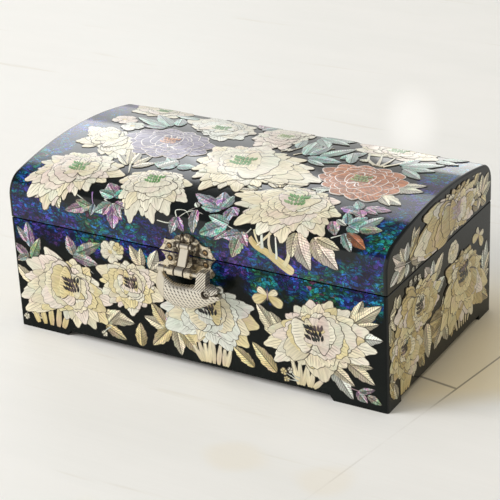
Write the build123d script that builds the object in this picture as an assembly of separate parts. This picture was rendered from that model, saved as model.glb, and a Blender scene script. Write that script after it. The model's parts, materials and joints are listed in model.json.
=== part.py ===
"""Jewelry box in black lacquer with a domed lid, stop hinges, a hasp, a fish padlock and a lift-out tray.

X runs along the length, Y from the front to the back and Z up from the table. The pieces are modelled
about the middle of the case. Before export they all move in Y, so that the origin lies under the middle
of the whole footprint, padlock and hinges included. All sizes are in millimetres and degrees.
"""
import os
from math import cos, radians, sin, sqrt

from build123d import *

# Case: outside sizes of the closed box and the boards of its body
CASE_LENGTH = 260.0
CASE_DEPTH = 146.0
CASE_HEIGHT = 110.0
SEAM_HEIGHT = 75.3
SEAM_GAP = 0.6
WALL = 8.0
RABBET = 4.0
BASE_THICKNESS = 5.0
BASE_REBATE = 4.0
EDGE_RADIUS = 1.5
RIM_RADIUS = 0.5

# Feet: low blocks under the four corners, flush with the outside
FOOT_HEIGHT = 3.5
FOOT_LENGTH = 38.0
FOOT_DEPTH = 17.0
FOOT_SLOPE = 2.5

# Lid: a bent shell with a shallow crown and tight shoulders, closed by two end boards
LID_WALL = 7.0
LID_END = 8.0
LID_SHOULDER_RADIUS = 14.0
LID_CROWN_RADIUS = 282.0
LID_END_EDGE = 1.2
LID_BOARD_BELOW_TOP = 23.2
LID_BOARD_THICKNESS = 2.5
LID_BOARD_GAP = 0.4
MIRROR_LENGTH = 168.0
MIRROR_DEPTH = 84.0
MIRROR_THICKNESS = 2.0
MIRROR_PROUD = 0.8

# Lining of the body: covered boards, a floor pad and the ledges that carry the tray
LINER = 2.0
LINER_DROP = 1.0
PAD_THICKNESS = 2.5
LEDGE_WIDTH = 5.0
LEDGE_THICKNESS = 6.0
LEDGE_TOP = 46.0

# Tray
TRAY_HEIGHT = 26.0
TRAY_CLEARANCE = 0.8
TRAY_WALL = 4.0
TRAY_FLOOR = 3.0
DIVIDER = 3.0
DIVIDER_DROP = 3.0
RING_BAY_LENGTH = 92.0
RING_ROLL_COUNT = 7
RING_ROLL_GAP = 0.4
RING_ROLL_HEIGHT = 13.0
RING_ROLL_CROWN = 4.5

# Stop hinges: two, let into the edges of the rear walls
HINGE_INSET = 52.0
HINGE_LENGTH = 28.0
HINGE_OUT = 2.7
KNUCKLE_RADIUS = 2.2
KNUCKLE_GAP = 0.25
HINGE_PIN_RADIUS = 0.9
PIN_CLEARANCE = 0.05
PIN_HEAD_RADIUS = 1.4
PIN_HEAD = 0.6
LEAF = 1.0
LEAF_SEAT = 6.5
LEAF_CLEARANCE = 0.05
LID_OPENING = 100.0
STOP_SLACK = 0.5
STOP_REACH = 5.6
STOP_LIP = 1.0
SCREW_RADIUS = 0.8
SCREW_HEAD_RADIUS = 1.7
SCREW_HEAD = 0.9
SCREW_LENGTH = 7.0
SCREW_SPACING = 18.0
SCREW_INSET = 3.4

# Hasp plates: shaped brass plates each side of the seam, held by dome-headed pins
PLATE = 0.9
PLATE_SEAM_MARGIN = 0.6
LID_PLATE_HALF = 19.6
LID_PLATE_HEIGHT = 13.4
LID_PLATE_CURVE = (
    ((17.0, 3.4), (15.6, 7.7)),
    ((12.4, 7.1), (9.0, 8.6)),
)
BODY_PLATE_HALF = 18.4
BODY_PLATE_HEIGHT = 13.6
BODY_PLATE_CURVE = (
    ((16.4, 2.0), (15.5, 4.8)),
    ((17.0, 6.2), (18.0, 8.6)),
    ((16.6, 11.0), (13.2, 11.4)),
    ((11.0, 10.2), (8.6, 10.8)),
)
PLATE_PIN_X = 12.4
PLATE_PIN_FROM_EDGE = 3.4
PLATE_PIN_RADIUS = 0.6
PLATE_PIN_HEAD_RADIUS = 1.5
PLATE_PIN_HEAD = 0.8
PLATE_PIN_LENGTH = 5.0
CREST_LOBE = 4.0
CREST_SIDE_LOBE = 3.6
CREST_SIDE_STEP = (5.4, 1.8)
CREST_CENTRE_ABOVE_EDGE = 5.0
CREST_LOBE_ANGLES = (-62.0, -31.0, 0.0, 31.0, 62.0)
CREST_ROOT_RADIUS = 0.5
CREST_LOBE_RADIUS = 1.9
CREST_TIP_RADIUS = 0.6
CREST_FULLEST = 0.74

# Hasp: a strap that hangs from a barrel on the lid plate and hooks over the padlock's bar
HASP_PIVOT_OUT = 3.0
HASP_PIVOT_ABOVE_SEAM = 6.7
HASP_BARREL_RADIUS = 1.8
HASP_BARREL_HALF = 4.8
HASP_LUG_END = 7.4
HASP_PIN_RADIUS = 0.7
HASP_STRAP_WIDTH = 7.0
HASP_HOOK_WIDTH = 5.6
HASP_STRAP = 1.1
HOOK_START = -28.0
HOOK_END = 138.0

# Staple on the body plate, with one eye each side of the hasp's hook
BAR_OUT = 9.5
BAR_BELOW_SEAM = 7.0
BAR_RADIUS = 1.5
BAR_CLEARANCE = 0.2
HOOK_CLEARANCE = 0.25
EYE_RADIUS = 3.1
EYE_WIDTH = 4.8
EYE_GAP = 0.35
EYE_WEB = 2.4
STRAP_ABOVE_EYE = 0.5

# Fish padlock. Each station is (x, depth below the bar, slope of the spine, half height, half thickness).
LOCK_SPLIT_X = -10.4
LOCK_JOINT = 0.1
FISH_STATIONS = (
    (-13.3, 0.9, -86.0, 1.8, 1.7),
    (-13.9, 6.4, -68.0, 3.9, 2.7),
    (-10.8, 12.2, -42.0, 6.4, 3.7),
    (-5.5, 15.1, -17.0, 7.2, 4.4),
    (1.5, 15.7, 0.0, 7.5, 4.6),
    (8.5, 14.6, 12.0, 7.2, 4.6),
    (15.0, 12.2, 19.0, 6.7, 4.6),
    (21.0, 10.2, 15.0, 5.4, 3.8),
    (26.2, 8.9, 12.0, 3.5, 2.4),
)
EYE_SPOT = (18.6, 9.0)
EYE_SPOT_RADIUS = 2.2
EYE_SPOT_RING = 0.5
EYE_SPOT_OUT = 4.0
EYE_SPOT_DEPTH = 0.9
MOUTH_SLOPE = 12.0
MOUTH_LENGTH = 5.0
MOUTH_OPENING = 1.3
FIN_FOOT = (9.4, 19.0)
FIN_FOOT_BELOW_BAR = 9.6
FIN_TOP = (12.4, 19.2)
FIN_TOP_ABOVE_BAR = (2.3, 3.7)
FIN_CROWN = 0.8
FIN_WAIST = (11.5, 18.3)
FIN_HALF_THICKNESS = 2.6
BAR_TIP_X = 16.4
BAR_SOCKET_DEPTH = 0.3
TAIL_BOSS_RADIUS = 2.1
TAIL_BOSS_X = (-15.2, -10.9)
BOLT_BELOW_BAR = 14.2
BOLT_TIP_X = 8.0
KEYWAY_WIDTH = 2.4
KEYWAY_HEIGHT = 2.0
BOLT_HEIGHT = 2.6
BOLT_WIDTH = 1.4
CAVITY_HALF_WIDTH = 2.1
CAVITY_HALF_HEIGHT = 1.7
CAVITY_END_GAP = 1.5
SPRING = 0.35
SPRING_LENGTH = 14.0
SPRING_SEAT = 2.0
SPRING_SPREAD = 0.95

# Places worked out from the sizes above
half_length = CASE_LENGTH / 2
half_depth = CASE_DEPTH / 2
body_top = SEAM_HEIGHT - SEAM_GAP / 2
lid_bottom = SEAM_HEIGHT + SEAM_GAP / 2
base_top = FOOT_HEIGHT + BASE_THICKNESS
pad_top = base_top + PAD_THICKNESS
inside_x = half_length - WALL
inside_y = half_depth - WALL
lined_x = inside_x - LINER
lined_y = inside_y - LINER
liner_top = body_top - LINER_DROP
tray_x = lined_x - TRAY_CLEARANCE
tray_y = lined_y - TRAY_CLEARANCE
tray_top = LEDGE_TOP + TRAY_HEIGHT
divider_top = tray_top - DIVIDER_DROP
ring_bay_end = -tray_x + TRAY_WALL + RING_BAY_LENGTH
lid_board_bottom = CASE_HEIGHT - LID_BOARD_BELOW_TOP
hinge_y = half_depth + HINGE_OUT
hinge_z = SEAM_HEIGHT
hasp_pivot_z = SEAM_HEIGHT + HASP_PIVOT_ABOVE_SEAM
bar_z = SEAM_HEIGHT - BAR_BELOW_SEAM
bolt_z = bar_z - BOLT_BELOW_BAR
lid_plate_edge = SEAM_HEIGHT + PLATE_SEAM_MARGIN
body_plate_edge = SEAM_HEIGHT - PLATE_SEAM_MARGIN
hinge_centres = (HINGE_INSET - half_length, half_length - HINGE_INSET)


def front(out):
    """Y of a point that stands `out` in front of the front face."""
    return -half_depth - out


def block(x_span, y_span, z_span):
    """A box between two places on each axis."""
    centre = [(low + high) / 2 for low, high in (x_span, y_span, z_span)]
    size = [high - low for low, high in (x_span, y_span, z_span)]
    return Pos(*centre) * Box(*size)


def rod_x(radius, x_span, y, z):
    """A cylinder along X."""
    middle = (x_span[0] + x_span[1]) / 2
    return Pos(middle, y, z) * Rot(0, 90, 0) * Cylinder(radius, x_span[1] - x_span[0])


def rod_y(radius, x, y_span, z):
    """A cylinder along Y."""
    middle = (y_span[0] + y_span[1]) / 2
    return Pos(x, middle, z) * Rot(90, 0, 0) * Cylinder(radius, y_span[1] - y_span[0])


def group(pieces):
    """Separate solids kept together as one node."""
    return Compound([solid for piece in pieces for solid in piece.solids()])


def front_plane(z):
    """A plane on the front face, with local X along the box, local Y up and its normal outwards."""
    return Plane(origin=(0, front(0), z), x_dir=(1, 0, 0), z_dir=(0, -1, 0))


def lid_face(inset):
    """The lid's cross-section, taken in evenly by `inset`: two uprights, two shoulders and the crown."""
    side = half_depth - inset
    shoulder = LID_SHOULDER_RADIUS - inset
    crown = LID_CROWN_RADIUS - inset
    crown_z = CASE_HEIGHT - LID_CROWN_RADIUS
    run = half_depth - LID_SHOULDER_RADIUS
    reach = LID_CROWN_RADIUS - LID_SHOULDER_RADIUS
    shoulder_z = crown_z + sqrt(reach**2 - run**2)
    tangent = (run / reach * crown, crown_z + (shoulder_z - crown_z) / reach * crown)
    bisector = Vector(1 + run / reach, (shoulder_z - crown_z) / reach).normalized()
    middle = Vector(run, shoulder_z) + bisector * shoulder
    outline = [
        Line((-side, lid_bottom), (side, lid_bottom)),
        Line((side, lid_bottom), (side, shoulder_z)),
        ThreePointArc((side, shoulder_z), (middle.X, middle.Y), tangent),
        ThreePointArc(tangent, (0, CASE_HEIGHT - inset), (-tangent[0], tangent[1])),
        ThreePointArc((-tangent[0], tangent[1]), (-middle.X, middle.Y), (-side, shoulder_z)),
        Line((-side, shoulder_z), (-side, lid_bottom)),
    ]
    return Plane.YZ * make_face(Curve() + outline)


def case_block():
    """The body's outside, still solid, with its corners and rim rounded."""
    solid = block(
        (-half_length, half_length), (-half_depth, half_depth), (FOOT_HEIGHT, body_top)
    )
    solid = fillet(solid.edges().filter_by(Axis.Z), EDGE_RADIUS)
    return fillet(solid.edges().group_by(Axis.Z)[-1], RIM_RADIUS)


def leaf_mortise(x, z_span):
    """The shallow seat of one hinge leaf in the edge of a rear wall."""
    half = HINGE_LENGTH / 2
    return block((x - half, x + half), (half_depth - LEAF_SEAT, half_depth), z_span)


def screw_places(x):
    """X of the two screws of the hinge at `x`."""
    return (x - SCREW_SPACING / 2, x + SCREW_SPACING / 2)


def pilot_hole(x, z_span):
    """The hole in the wood for one hinge screw."""
    middle = (z_span[0] + z_span[1]) / 2
    hole = Cylinder(SCREW_RADIUS, z_span[1] - z_span[0])
    return Pos(x, half_depth - SCREW_INSET, middle) * hole


def pin_hole(x, z):
    """The hole in the front wall for one plate pin."""
    return rod_y(PLATE_PIN_RADIUS, x, (front(0), front(PLATE - PLATE_PIN_LENGTH)), z)


def body_panels():
    """The four wall boards: the ends sit in rabbets of the long walls, and the base in a rebate."""
    solid = case_block()
    floor = block(
        (-inside_x - BASE_REBATE, inside_x + BASE_REBATE),
        (-inside_y - BASE_REBATE, inside_y + BASE_REBATE),
        (FOOT_HEIGHT, base_top),
    )
    height = (FOOT_HEIGHT, body_top)
    end_reach = inside_y + RABBET
    right = block((inside_x, half_length), (-end_reach, end_reach), height)
    left = block((-half_length, -inside_x), (-end_reach, end_reach), height)
    long_wall = (-half_length, half_length)
    front_wall = block(long_wall, (-half_depth, -inside_y), height)
    rear_wall = block(long_wall, (inside_y, half_depth), height)
    panels = {
        "body_front_panel": (solid & front_wall) - right - left - floor,
        "body_rear_panel": (solid & rear_wall) - right - left - floor,
        "body_left_panel": (solid & left) - floor,
        "body_right_panel": (solid & right) - floor,
    }
    pin_z = body_plate_edge - PLATE_PIN_FROM_EDGE
    for x in (-PLATE_PIN_X, PLATE_PIN_X):
        panels["body_front_panel"] -= pin_hole(x, pin_z)
    leaf_bottom = hinge_z - LEAF_CLEARANCE - LEAF
    for hinge_x in hinge_centres:
        panels["body_rear_panel"] -= leaf_mortise(hinge_x, (leaf_bottom, body_top))
        for x in screw_places(hinge_x):
            screw_bottom = hinge_z - LEAF_CLEARANCE - SCREW_LENGTH
            panels["body_rear_panel"] -= pilot_hole(x, (screw_bottom, body_top))
    panels["base_board"] = floor
    return panels


def feet():
    """Four corner blocks. Their inner ends slope, so that they read as cut brackets."""
    plan = block((-half_length, half_length), (-half_depth, half_depth), (0, FOOT_HEIGHT))
    plan = fillet(plan.edges().filter_by(Axis.Z), EDGE_RADIUS)
    sloped_end = Polyline(
        (half_length, 0),
        (half_length, FOOT_HEIGHT),
        (half_length - FOOT_LENGTH, FOOT_HEIGHT),
        (half_length - FOOT_LENGTH + FOOT_SLOPE, 0),
        close=True,
    )
    profile = Plane.XZ * make_face(sloped_end)
    long_bar = extrude(profile, amount=half_depth, both=True)
    corner = plan & long_bar
    right_front = corner & block(
        (0, half_length), (-half_depth, -half_depth + FOOT_DEPTH), (0, FOOT_HEIGHT)
    )
    right_rear = mirror(right_front, Plane.XZ)
    return {
        "foot_front_right": right_front,
        "foot_rear_right": right_rear,
        "foot_front_left": mirror(right_front, Plane.YZ),
        "foot_rear_left": mirror(right_rear, Plane.YZ),
    }


def body_lining():
    """Covered boards on the walls, the floor pad and the two ledges under the tray."""
    height = (pad_top, liner_top)
    long_span = (-inside_x, inside_x)
    short_span = (-lined_y, lined_y)
    ledge = (LEDGE_TOP - LEDGE_THICKNESS, LEDGE_TOP)
    return {
        "floor_pad": block(long_span, (-inside_y, inside_y), (base_top, pad_top)),
        "liner_front": block(long_span, (-inside_y, -lined_y), height),
        "liner_rear": block(long_span, (lined_y, inside_y), height),
        "liner_left": block((-inside_x, -lined_x), short_span, height),
        "liner_right": block((lined_x, inside_x), short_span, height),
        "tray_ledge_left": block((-lined_x, -lined_x + LEDGE_WIDTH), short_span, ledge),
        "tray_ledge_right": block((lined_x - LEDGE_WIDTH, lined_x), short_span, ledge),
    }


def ring_roll(x_span, y_span, z_span):
    """One padded roll: upright sides under a crowned top."""
    shoulder_z = z_span[1] - RING_ROLL_CROWN
    middle = (x_span[0] + x_span[1]) / 2
    outline = [
        Line((x_span[0], z_span[0]), (x_span[1], z_span[0])),
        Line((x_span[1], z_span[0]), (x_span[1], shoulder_z)),
        ThreePointArc((x_span[1], shoulder_z), (middle, z_span[1]), (x_span[0], shoulder_z)),
        Line((x_span[0], shoulder_z), (x_span[0], z_span[0])),
    ]
    section = Plane.XZ.offset(-y_span[0]) * make_face(Curve() + outline)
    return extrude(section, amount=y_span[0] - y_span[1])


def tray():
    """The lift-out tray: four walls, a floor, two dividers and a bay of ring rolls."""
    height = (LEDGE_TOP, tray_top)
    floor_top = LEDGE_TOP + TRAY_FLOOR
    in_x = tray_x - TRAY_WALL
    in_y = tray_y - TRAY_WALL
    bay = (-in_x, ring_bay_end)
    pitch = (bay[1] - bay[0]) / RING_ROLL_COUNT
    rolls = []
    for index in range(RING_ROLL_COUNT):
        start = bay[0] + index * pitch + RING_ROLL_GAP / 2
        end = start + pitch - RING_ROLL_GAP
        top = floor_top + RING_ROLL_HEIGHT
        rolls.append(ring_roll((start, end), (-in_y, in_y), (floor_top, top)))
    cross = (ring_bay_end, ring_bay_end + DIVIDER)
    divider_z = (floor_top, divider_top)
    return {
        "tray_front": block((-tray_x, tray_x), (-tray_y, -in_y), height),
        "tray_rear": block((-tray_x, tray_x), (in_y, tray_y), height),
        "tray_left": block((-tray_x, -in_x), (-in_y, in_y), height),
        "tray_right": block((in_x, tray_x), (-in_y, in_y), height),
        "tray_floor": block((-in_x, in_x), (-in_y, in_y), (LEDGE_TOP, floor_top)),
        "tray_cross_divider": block(cross, (-in_y, in_y), divider_z),
        "tray_long_divider": block((cross[1], in_x), (-DIVIDER / 2, DIVIDER / 2), divider_z),
        "ring_rolls": group(rolls),
    }


def lid():
    """The bent shell with its two end boards, and the covered board that carries the mirror."""
    solid = extrude(lid_face(0), amount=half_length, both=True)
    end_edges = solid.edges().filter_by_position(Axis.X, -half_length, -half_length)
    end_edges += solid.edges().filter_by_position(Axis.X, half_length, half_length)
    end_edges = end_edges.filter_by_position(Axis.Z, lid_bottom + RIM_RADIUS, CASE_HEIGHT + 1)
    solid = fillet(end_edges, LID_END_EDGE)
    solid = fillet(solid.edges().group_by(Axis.Z)[0], RIM_RADIUS)
    hollow = extrude(lid_face(LID_WALL), amount=half_length, both=True)
    shell = solid - hollow
    ends = solid & hollow
    end_x = half_length - LID_END
    depth = (-half_depth, half_depth)
    height = (lid_bottom, CASE_HEIGHT)
    leaf_top = hinge_z + LEAF_CLEARANCE + LEAF
    screw_top = hinge_z + LEAF_CLEARANCE + SCREW_LENGTH
    for hinge_x in hinge_centres:
        shell -= leaf_mortise(hinge_x, (lid_bottom, leaf_top))
        for x in screw_places(hinge_x):
            shell -= pilot_hole(x, (lid_bottom, screw_top))
    for x in (-PLATE_PIN_X, PLATE_PIN_X):
        shell -= pin_hole(x, lid_plate_edge + PLATE_PIN_FROM_EDGE)
    board_x = end_x - LID_BOARD_GAP
    board_y = half_depth - LID_WALL - LID_BOARD_GAP
    board_z = (lid_board_bottom, lid_board_bottom + LID_BOARD_THICKNESS)
    mirror_x = (-MIRROR_LENGTH / 2, MIRROR_LENGTH / 2)
    mirror_y = (-MIRROR_DEPTH / 2, MIRROR_DEPTH / 2)
    mirror_bottom = lid_board_bottom - MIRROR_PROUD
    glass = block(mirror_x, mirror_y, (mirror_bottom, mirror_bottom + MIRROR_THICKNESS))
    return {
        "lid_shell": shell,
        "lid_left_end": ends & block((-half_length, -end_x), depth, height),
        "lid_right_end": ends & block((end_x, half_length), depth, height),
        "lid_board": block((-board_x, board_x), (-board_y, board_y), board_z) - glass,
        "lid_mirror": glass,
    }


def stop_lip(x_span, radii, angle, upper):
    """A lip that leaves the hinge's axis at `angle` above the horizontal, as thick as STOP_LIP."""
    thickness = (0, STOP_LIP) if upper else (-STOP_LIP, 0)
    flat = block(x_span, radii, thickness)
    return Pos(0, hinge_y, hinge_z) * Rot(angle, 0, 0) * flat


def hinge_screw(x, up):
    """A countersunk screw whose head lies flush in its leaf and whose shank points up or down."""
    head = Pos(0, 0, -SCREW_HEAD / 2) * Cone(SCREW_RADIUS, SCREW_HEAD_RADIUS, SCREW_HEAD)
    shank = Pos(0, 0, -SCREW_LENGTH / 2) * Cylinder(SCREW_RADIUS, SCREW_LENGTH)
    screw = head + shank
    if up:
        screw = mirror(screw, Plane.XY)
    side = LEAF_CLEARANCE if up else -LEAF_CLEARANCE
    return Pos(x, half_depth - SCREW_INSET, hinge_z + side) * screw


def hinge(x):
    """One stop hinge: body leaf with two outer knuckles, lid leaf with the middle one, and the pin."""
    start = x - HINGE_LENGTH / 2
    end = x + HINGE_LENGTH / 2
    third = HINGE_LENGTH / 3
    middle = (start + third + KNUCKLE_GAP, end - third - KNUCKLE_GAP)
    outers = ((start, start + third), (end - third, end))
    leaf_y = (half_depth - LEAF_SEAT, hinge_y)
    low_z = (hinge_z - LEAF_CLEARANCE - LEAF, hinge_z - LEAF_CLEARANCE)
    high_z = (hinge_z + LEAF_CLEARANCE, hinge_z + LEAF_CLEARANCE + LEAF)
    stop_angle = LID_OPENING / 2 + STOP_SLACK / 2
    swept = KNUCKLE_RADIUS + KNUCKLE_GAP
    swept_middle = (outers[0][1], outers[1][0])

    body_leaf = block((start, end), leaf_y, low_z)
    body_leaf -= rod_x(swept, swept_middle, hinge_y, hinge_z)
    body_leaf += stop_lip((start, end), (swept, STOP_REACH), -stop_angle, upper=False)
    lid_leaf = block((start, end), leaf_y, high_z)
    for outer in outers:
        reach = (outer[0] - KNUCKLE_GAP, outer[1] + KNUCKLE_GAP)
        lid_leaf -= rod_x(swept, reach, hinge_y, hinge_z)
        body_leaf += rod_x(KNUCKLE_RADIUS, outer, hinge_y, hinge_z)
        body_leaf += stop_lip(outer, (HINGE_PIN_RADIUS, STOP_REACH), -stop_angle, upper=False)
    lid_leaf += rod_x(KNUCKLE_RADIUS, middle, hinge_y, hinge_z)
    lid_leaf += stop_lip(middle, (HINGE_PIN_RADIUS, STOP_REACH), stop_angle, upper=True)
    bore = rod_x(HINGE_PIN_RADIUS + PIN_CLEARANCE, (start, end), hinge_y, hinge_z)
    body_leaf -= bore
    lid_leaf -= bore
    for screw_x in screw_places(x):
        body_leaf -= hinge_screw(screw_x, up=False)
        lid_leaf -= hinge_screw(screw_x, up=True)
    pin = rod_x(HINGE_PIN_RADIUS, (start, end), hinge_y, hinge_z)
    pin += rod_x(PIN_HEAD_RADIUS, (start - PIN_HEAD, start), hinge_y, hinge_z)
    pin += rod_x(PIN_HEAD_RADIUS, (end, end + PIN_HEAD), hinge_y, hinge_z)
    return body_leaf, lid_leaf, pin


def hinges():
    """Both hinges and their eight screws."""
    parts = {}
    for side, x in zip(("left", "right"), hinge_centres):
        body_leaf, lid_leaf, pin = hinge(x)
        parts[f"hinge_{side}_body_leaf"] = body_leaf
        parts[f"hinge_{side}_lid_leaf"] = lid_leaf
        parts[f"hinge_{side}_pin"] = pin
    places = [x for hinge_x in hinge_centres for x in screw_places(hinge_x)]
    parts["hinge_body_screws"] = group(hinge_screw(x, up=False) for x in places)
    parts["hinge_lid_screws"] = group(hinge_screw(x, up=True) for x in places)
    return parts


def plate_outline(half, height, curve):
    """A plate that is straight at the seam, with curved wings and a crest of three lobes.

    half: half of the straight edge. height: top of the crest. curve: the right wing's outline from the
    straight edge to the crest, as arcs that each have a middle point and an end.
    """
    wings = [Line((-half, 0), (half, 0))]
    start = (half, 0)
    for middle, end in curve:
        wings.append(ThreePointArc(start, middle, end))
        wings.append(
            ThreePointArc((-end[0], end[1]), (-middle[0], middle[1]), (-start[0], start[1]))
        )
        start = end
    wings.append(Line(start, (-start[0], start[1])))
    face = make_face(Curve() + wings)
    lobe_y = height - CREST_LOBE
    face += Pos(0, lobe_y) * Circle(CREST_LOBE)
    for side in (-1, 1):
        side_lobe = Circle(CREST_SIDE_LOBE)
        face += Pos(side * CREST_SIDE_STEP[0], lobe_y - CREST_SIDE_STEP[1]) * side_lobe
    return face


def plate_pins(z):
    """The two dome-headed pins of one plate."""
    pins = []
    for x in (-PLATE_PIN_X, PLATE_PIN_X):
        pin = rod_y(PLATE_PIN_RADIUS, x, (front(PLATE), front(PLATE - PLATE_PIN_LENGTH)), z)
        rise = (PLATE_PIN_HEAD_RADIUS**2 - PLATE_PIN_HEAD**2) / (2 * PLATE_PIN_HEAD)
        dome = Pos(x, front(PLATE - rise), z) * Sphere(rise + PLATE_PIN_HEAD)
        cap = rod_y(PLATE_PIN_HEAD_RADIUS, x, (front(PLATE + PLATE_PIN_HEAD), front(PLATE)), z)
        pins.append(pin + (dome & cap))
    return group(pins)


def crest_lobe(angle):
    """One lobe of the lid plate's crest: a petal-shaped spindle that points away at `angle` from upright."""
    length = LID_PLATE_HEIGHT - CREST_CENTRE_ABOVE_EDGE
    fullest = (length * CREST_FULLEST, CREST_LOBE_RADIUS)
    root = TangentArc(fullest, (0, CREST_ROOT_RADIUS), tangent=(-1, 0))
    tip = TangentArc(fullest, (length, CREST_TIP_RADIUS), tangent=(1, 0))
    close = Polyline((length, CREST_TIP_RADIUS), (length, 0), (0, 0), (0, CREST_ROOT_RADIUS))
    petal = revolve(make_face(Curve() + [root, tip, close]), Axis.X)
    centre_z = lid_plate_edge + CREST_CENTRE_ABOVE_EDGE
    return Pos(0, front(PLATE / 2), centre_z) * Rot(0, angle - 90, 0) * petal


def lid_plate():
    """The plate on the lid: a crest of fanned lobes above two lugs that hold the barrel of the hasp."""
    face = plate_outline(LID_PLATE_HALF, LID_PLATE_HEIGHT, LID_PLATE_CURVE)
    plate = extrude(front_plane(lid_plate_edge) * face, amount=PLATE)
    pivot = (front(HASP_PIVOT_OUT), hasp_pivot_z)
    lug_span = (-HASP_LUG_END, HASP_LUG_END)
    outside = block(
        (-LID_PLATE_HALF, LID_PLATE_HALF),
        (front(HASP_PIVOT_OUT), front(0)),
        (lid_plate_edge, CASE_HEIGHT),
    )
    swept = rod_x(HASP_BARREL_RADIUS + EYE_GAP, lug_span, *pivot)
    for angle in CREST_LOBE_ANGLES:
        plate += (crest_lobe(angle) & outside) - swept
    for side in (-1, 1):
        ends = (side * (HASP_BARREL_HALF + EYE_GAP), side * HASP_LUG_END)
        span = (min(ends), max(ends))
        lug = rod_x(HASP_BARREL_RADIUS, span, *pivot)
        height = (hasp_pivot_z - HASP_BARREL_RADIUS, hasp_pivot_z + HASP_BARREL_RADIUS)
        plate += lug + block(span, (front(HASP_PIVOT_OUT), front(0)), height)
    plate -= rod_x(HASP_PIN_RADIUS + PIN_CLEARANCE, lug_span, *pivot)
    return plate - plate_pins(lid_plate_edge + PLATE_PIN_FROM_EDGE)


def hasp():
    """The strap, its barrel and the open hook over the bar, drawn in section and given their widths."""
    reach = Vector(BAR_OUT - HASP_PIVOT_OUT, bar_z - hasp_pivot_z)
    along = reach.normalized()
    across = Vector(-along.Y, along.X) * (HASP_STRAP / 2)
    hook_inner = BAR_RADIUS + HOOK_CLEARANCE
    top = Vector(HASP_PIVOT_OUT, hasp_pivot_z) + along * HASP_PIN_RADIUS
    waist = Vector(BAR_OUT, bar_z) - along * (EYE_RADIUS + STRAP_ABOVE_EYE)
    foot = Vector(BAR_OUT, bar_z) - along * ((hook_inner + EYE_RADIUS) / 2)
    side_plane = Plane(origin=(0, front(0), 0), x_dir=(0, -1, 0), z_dir=(-1, 0, 0))

    def run(start, end):
        """The section of the strap between two points of its middle line."""
        corners = (start - across, start + across, end + across, end - across)
        return make_face(Polyline(*[(corner.X, corner.Y) for corner in corners], close=True))

    hook = [
        CenterArc((BAR_OUT, bar_z), EYE_RADIUS, HOOK_START, HOOK_END - HOOK_START),
        CenterArc((BAR_OUT, bar_z), hook_inner, HOOK_START, HOOK_END - HOOK_START),
    ]
    hook += [Line(hook[0] @ 0, hook[1] @ 0), Line(hook[0] @ 1, hook[1] @ 1)]
    narrow = run(waist, foot) + make_face(Curve() + hook)
    piece = extrude(side_plane * run(top, waist), amount=HASP_STRAP_WIDTH / 2, both=True)
    piece += extrude(side_plane * narrow, amount=HASP_HOOK_WIDTH / 2, both=True)
    barrel_span = (-HASP_BARREL_HALF, HASP_BARREL_HALF)
    pivot = (front(HASP_PIVOT_OUT), hasp_pivot_z)
    piece += rod_x(HASP_BARREL_RADIUS, barrel_span, *pivot)
    return piece - rod_x(HASP_PIN_RADIUS + PIN_CLEARANCE, barrel_span, *pivot)


def hasp_pin():
    """The headed pin through the lugs and the hasp's barrel."""
    pivot = (front(HASP_PIVOT_OUT), hasp_pivot_z)
    pin = rod_x(HASP_PIN_RADIUS, (-HASP_LUG_END, HASP_LUG_END), *pivot)
    for side in (-1, 1):
        ends = (side * HASP_LUG_END, side * (HASP_LUG_END + PIN_HEAD))
        pin += rod_x(PIN_HEAD_RADIUS, (min(ends), max(ends)), *pivot)
    return pin


def body_plate():
    """The plate on the body, with the two eyes that hold the padlock's bar."""
    face = plate_outline(BODY_PLATE_HALF, BODY_PLATE_HEIGHT, BODY_PLATE_CURVE)
    face = mirror(face, Plane.XZ)
    plate = extrude(front_plane(body_plate_edge) * face, amount=PLATE)
    for side in (-1, 1):
        inner = HASP_HOOK_WIDTH / 2 + EYE_GAP
        ends = (side * inner, side * (inner + EYE_WIDTH))
        span = (min(ends), max(ends))
        web = (bar_z - EYE_WEB / 2, bar_z + EYE_WEB / 2)
        eye = rod_x(EYE_RADIUS, span, front(BAR_OUT), bar_z)
        eye += block(span, (front(BAR_OUT), front(0)), web)
        plate += eye - rod_x(BAR_RADIUS + BAR_CLEARANCE, span, front(BAR_OUT), bar_z)
    plate -= plate_pins(body_plate_edge - PLATE_PIN_FROM_EDGE)
    return plate


def fish():
    """The whole crescent of the fish: a loft through ovals that stand square to its curved spine."""
    ovals = []
    for x, depth, slope, half_height, half_thickness in FISH_STATIONS:
        along = (cos(radians(slope)), 0, sin(radians(slope)))
        place = Plane(origin=(x, front(BAR_OUT), bar_z - depth), x_dir=(0, 1, 0), z_dir=along)
        ovals.append(place * Ellipse(half_thickness, half_height))
    return loft(ovals)


def fish_side(x_span):
    """What the fish has between two places along X."""
    whole = (front(BAR_OUT * 2), front(0))
    return fish() & block(x_span, whole, (0, CASE_HEIGHT))


def fin():
    """The back fin, which carries the tip of the padlock's bar."""
    foot_z = bar_z - FIN_FOOT_BELOW_BAR
    corners = [
        (FIN_FOOT[0], foot_z),
        (FIN_FOOT[1], foot_z),
        (FIN_TOP[1], bar_z + FIN_TOP_ABOVE_BAR[1]),
        (FIN_TOP[0], bar_z + FIN_TOP_ABOVE_BAR[0]),
    ]
    waist_z = (foot_z + corners[3][1]) / 2
    crown = ((FIN_TOP[0] + FIN_TOP[1]) / 2, (corners[2][1] + corners[3][1]) / 2 + FIN_CROWN)
    outline = [
        Line(corners[0], corners[1]),
        ThreePointArc(corners[1], (FIN_WAIST[1], waist_z), corners[2]),
        ThreePointArc(corners[2], crown, corners[3]),
        ThreePointArc(corners[3], (FIN_WAIST[0], waist_z), corners[0]),
    ]
    face = Plane.XZ.offset(-front(BAR_OUT)) * make_face(Curve() + outline)
    return extrude(face, amount=FIN_HALF_THICKNESS, both=True)


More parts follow.
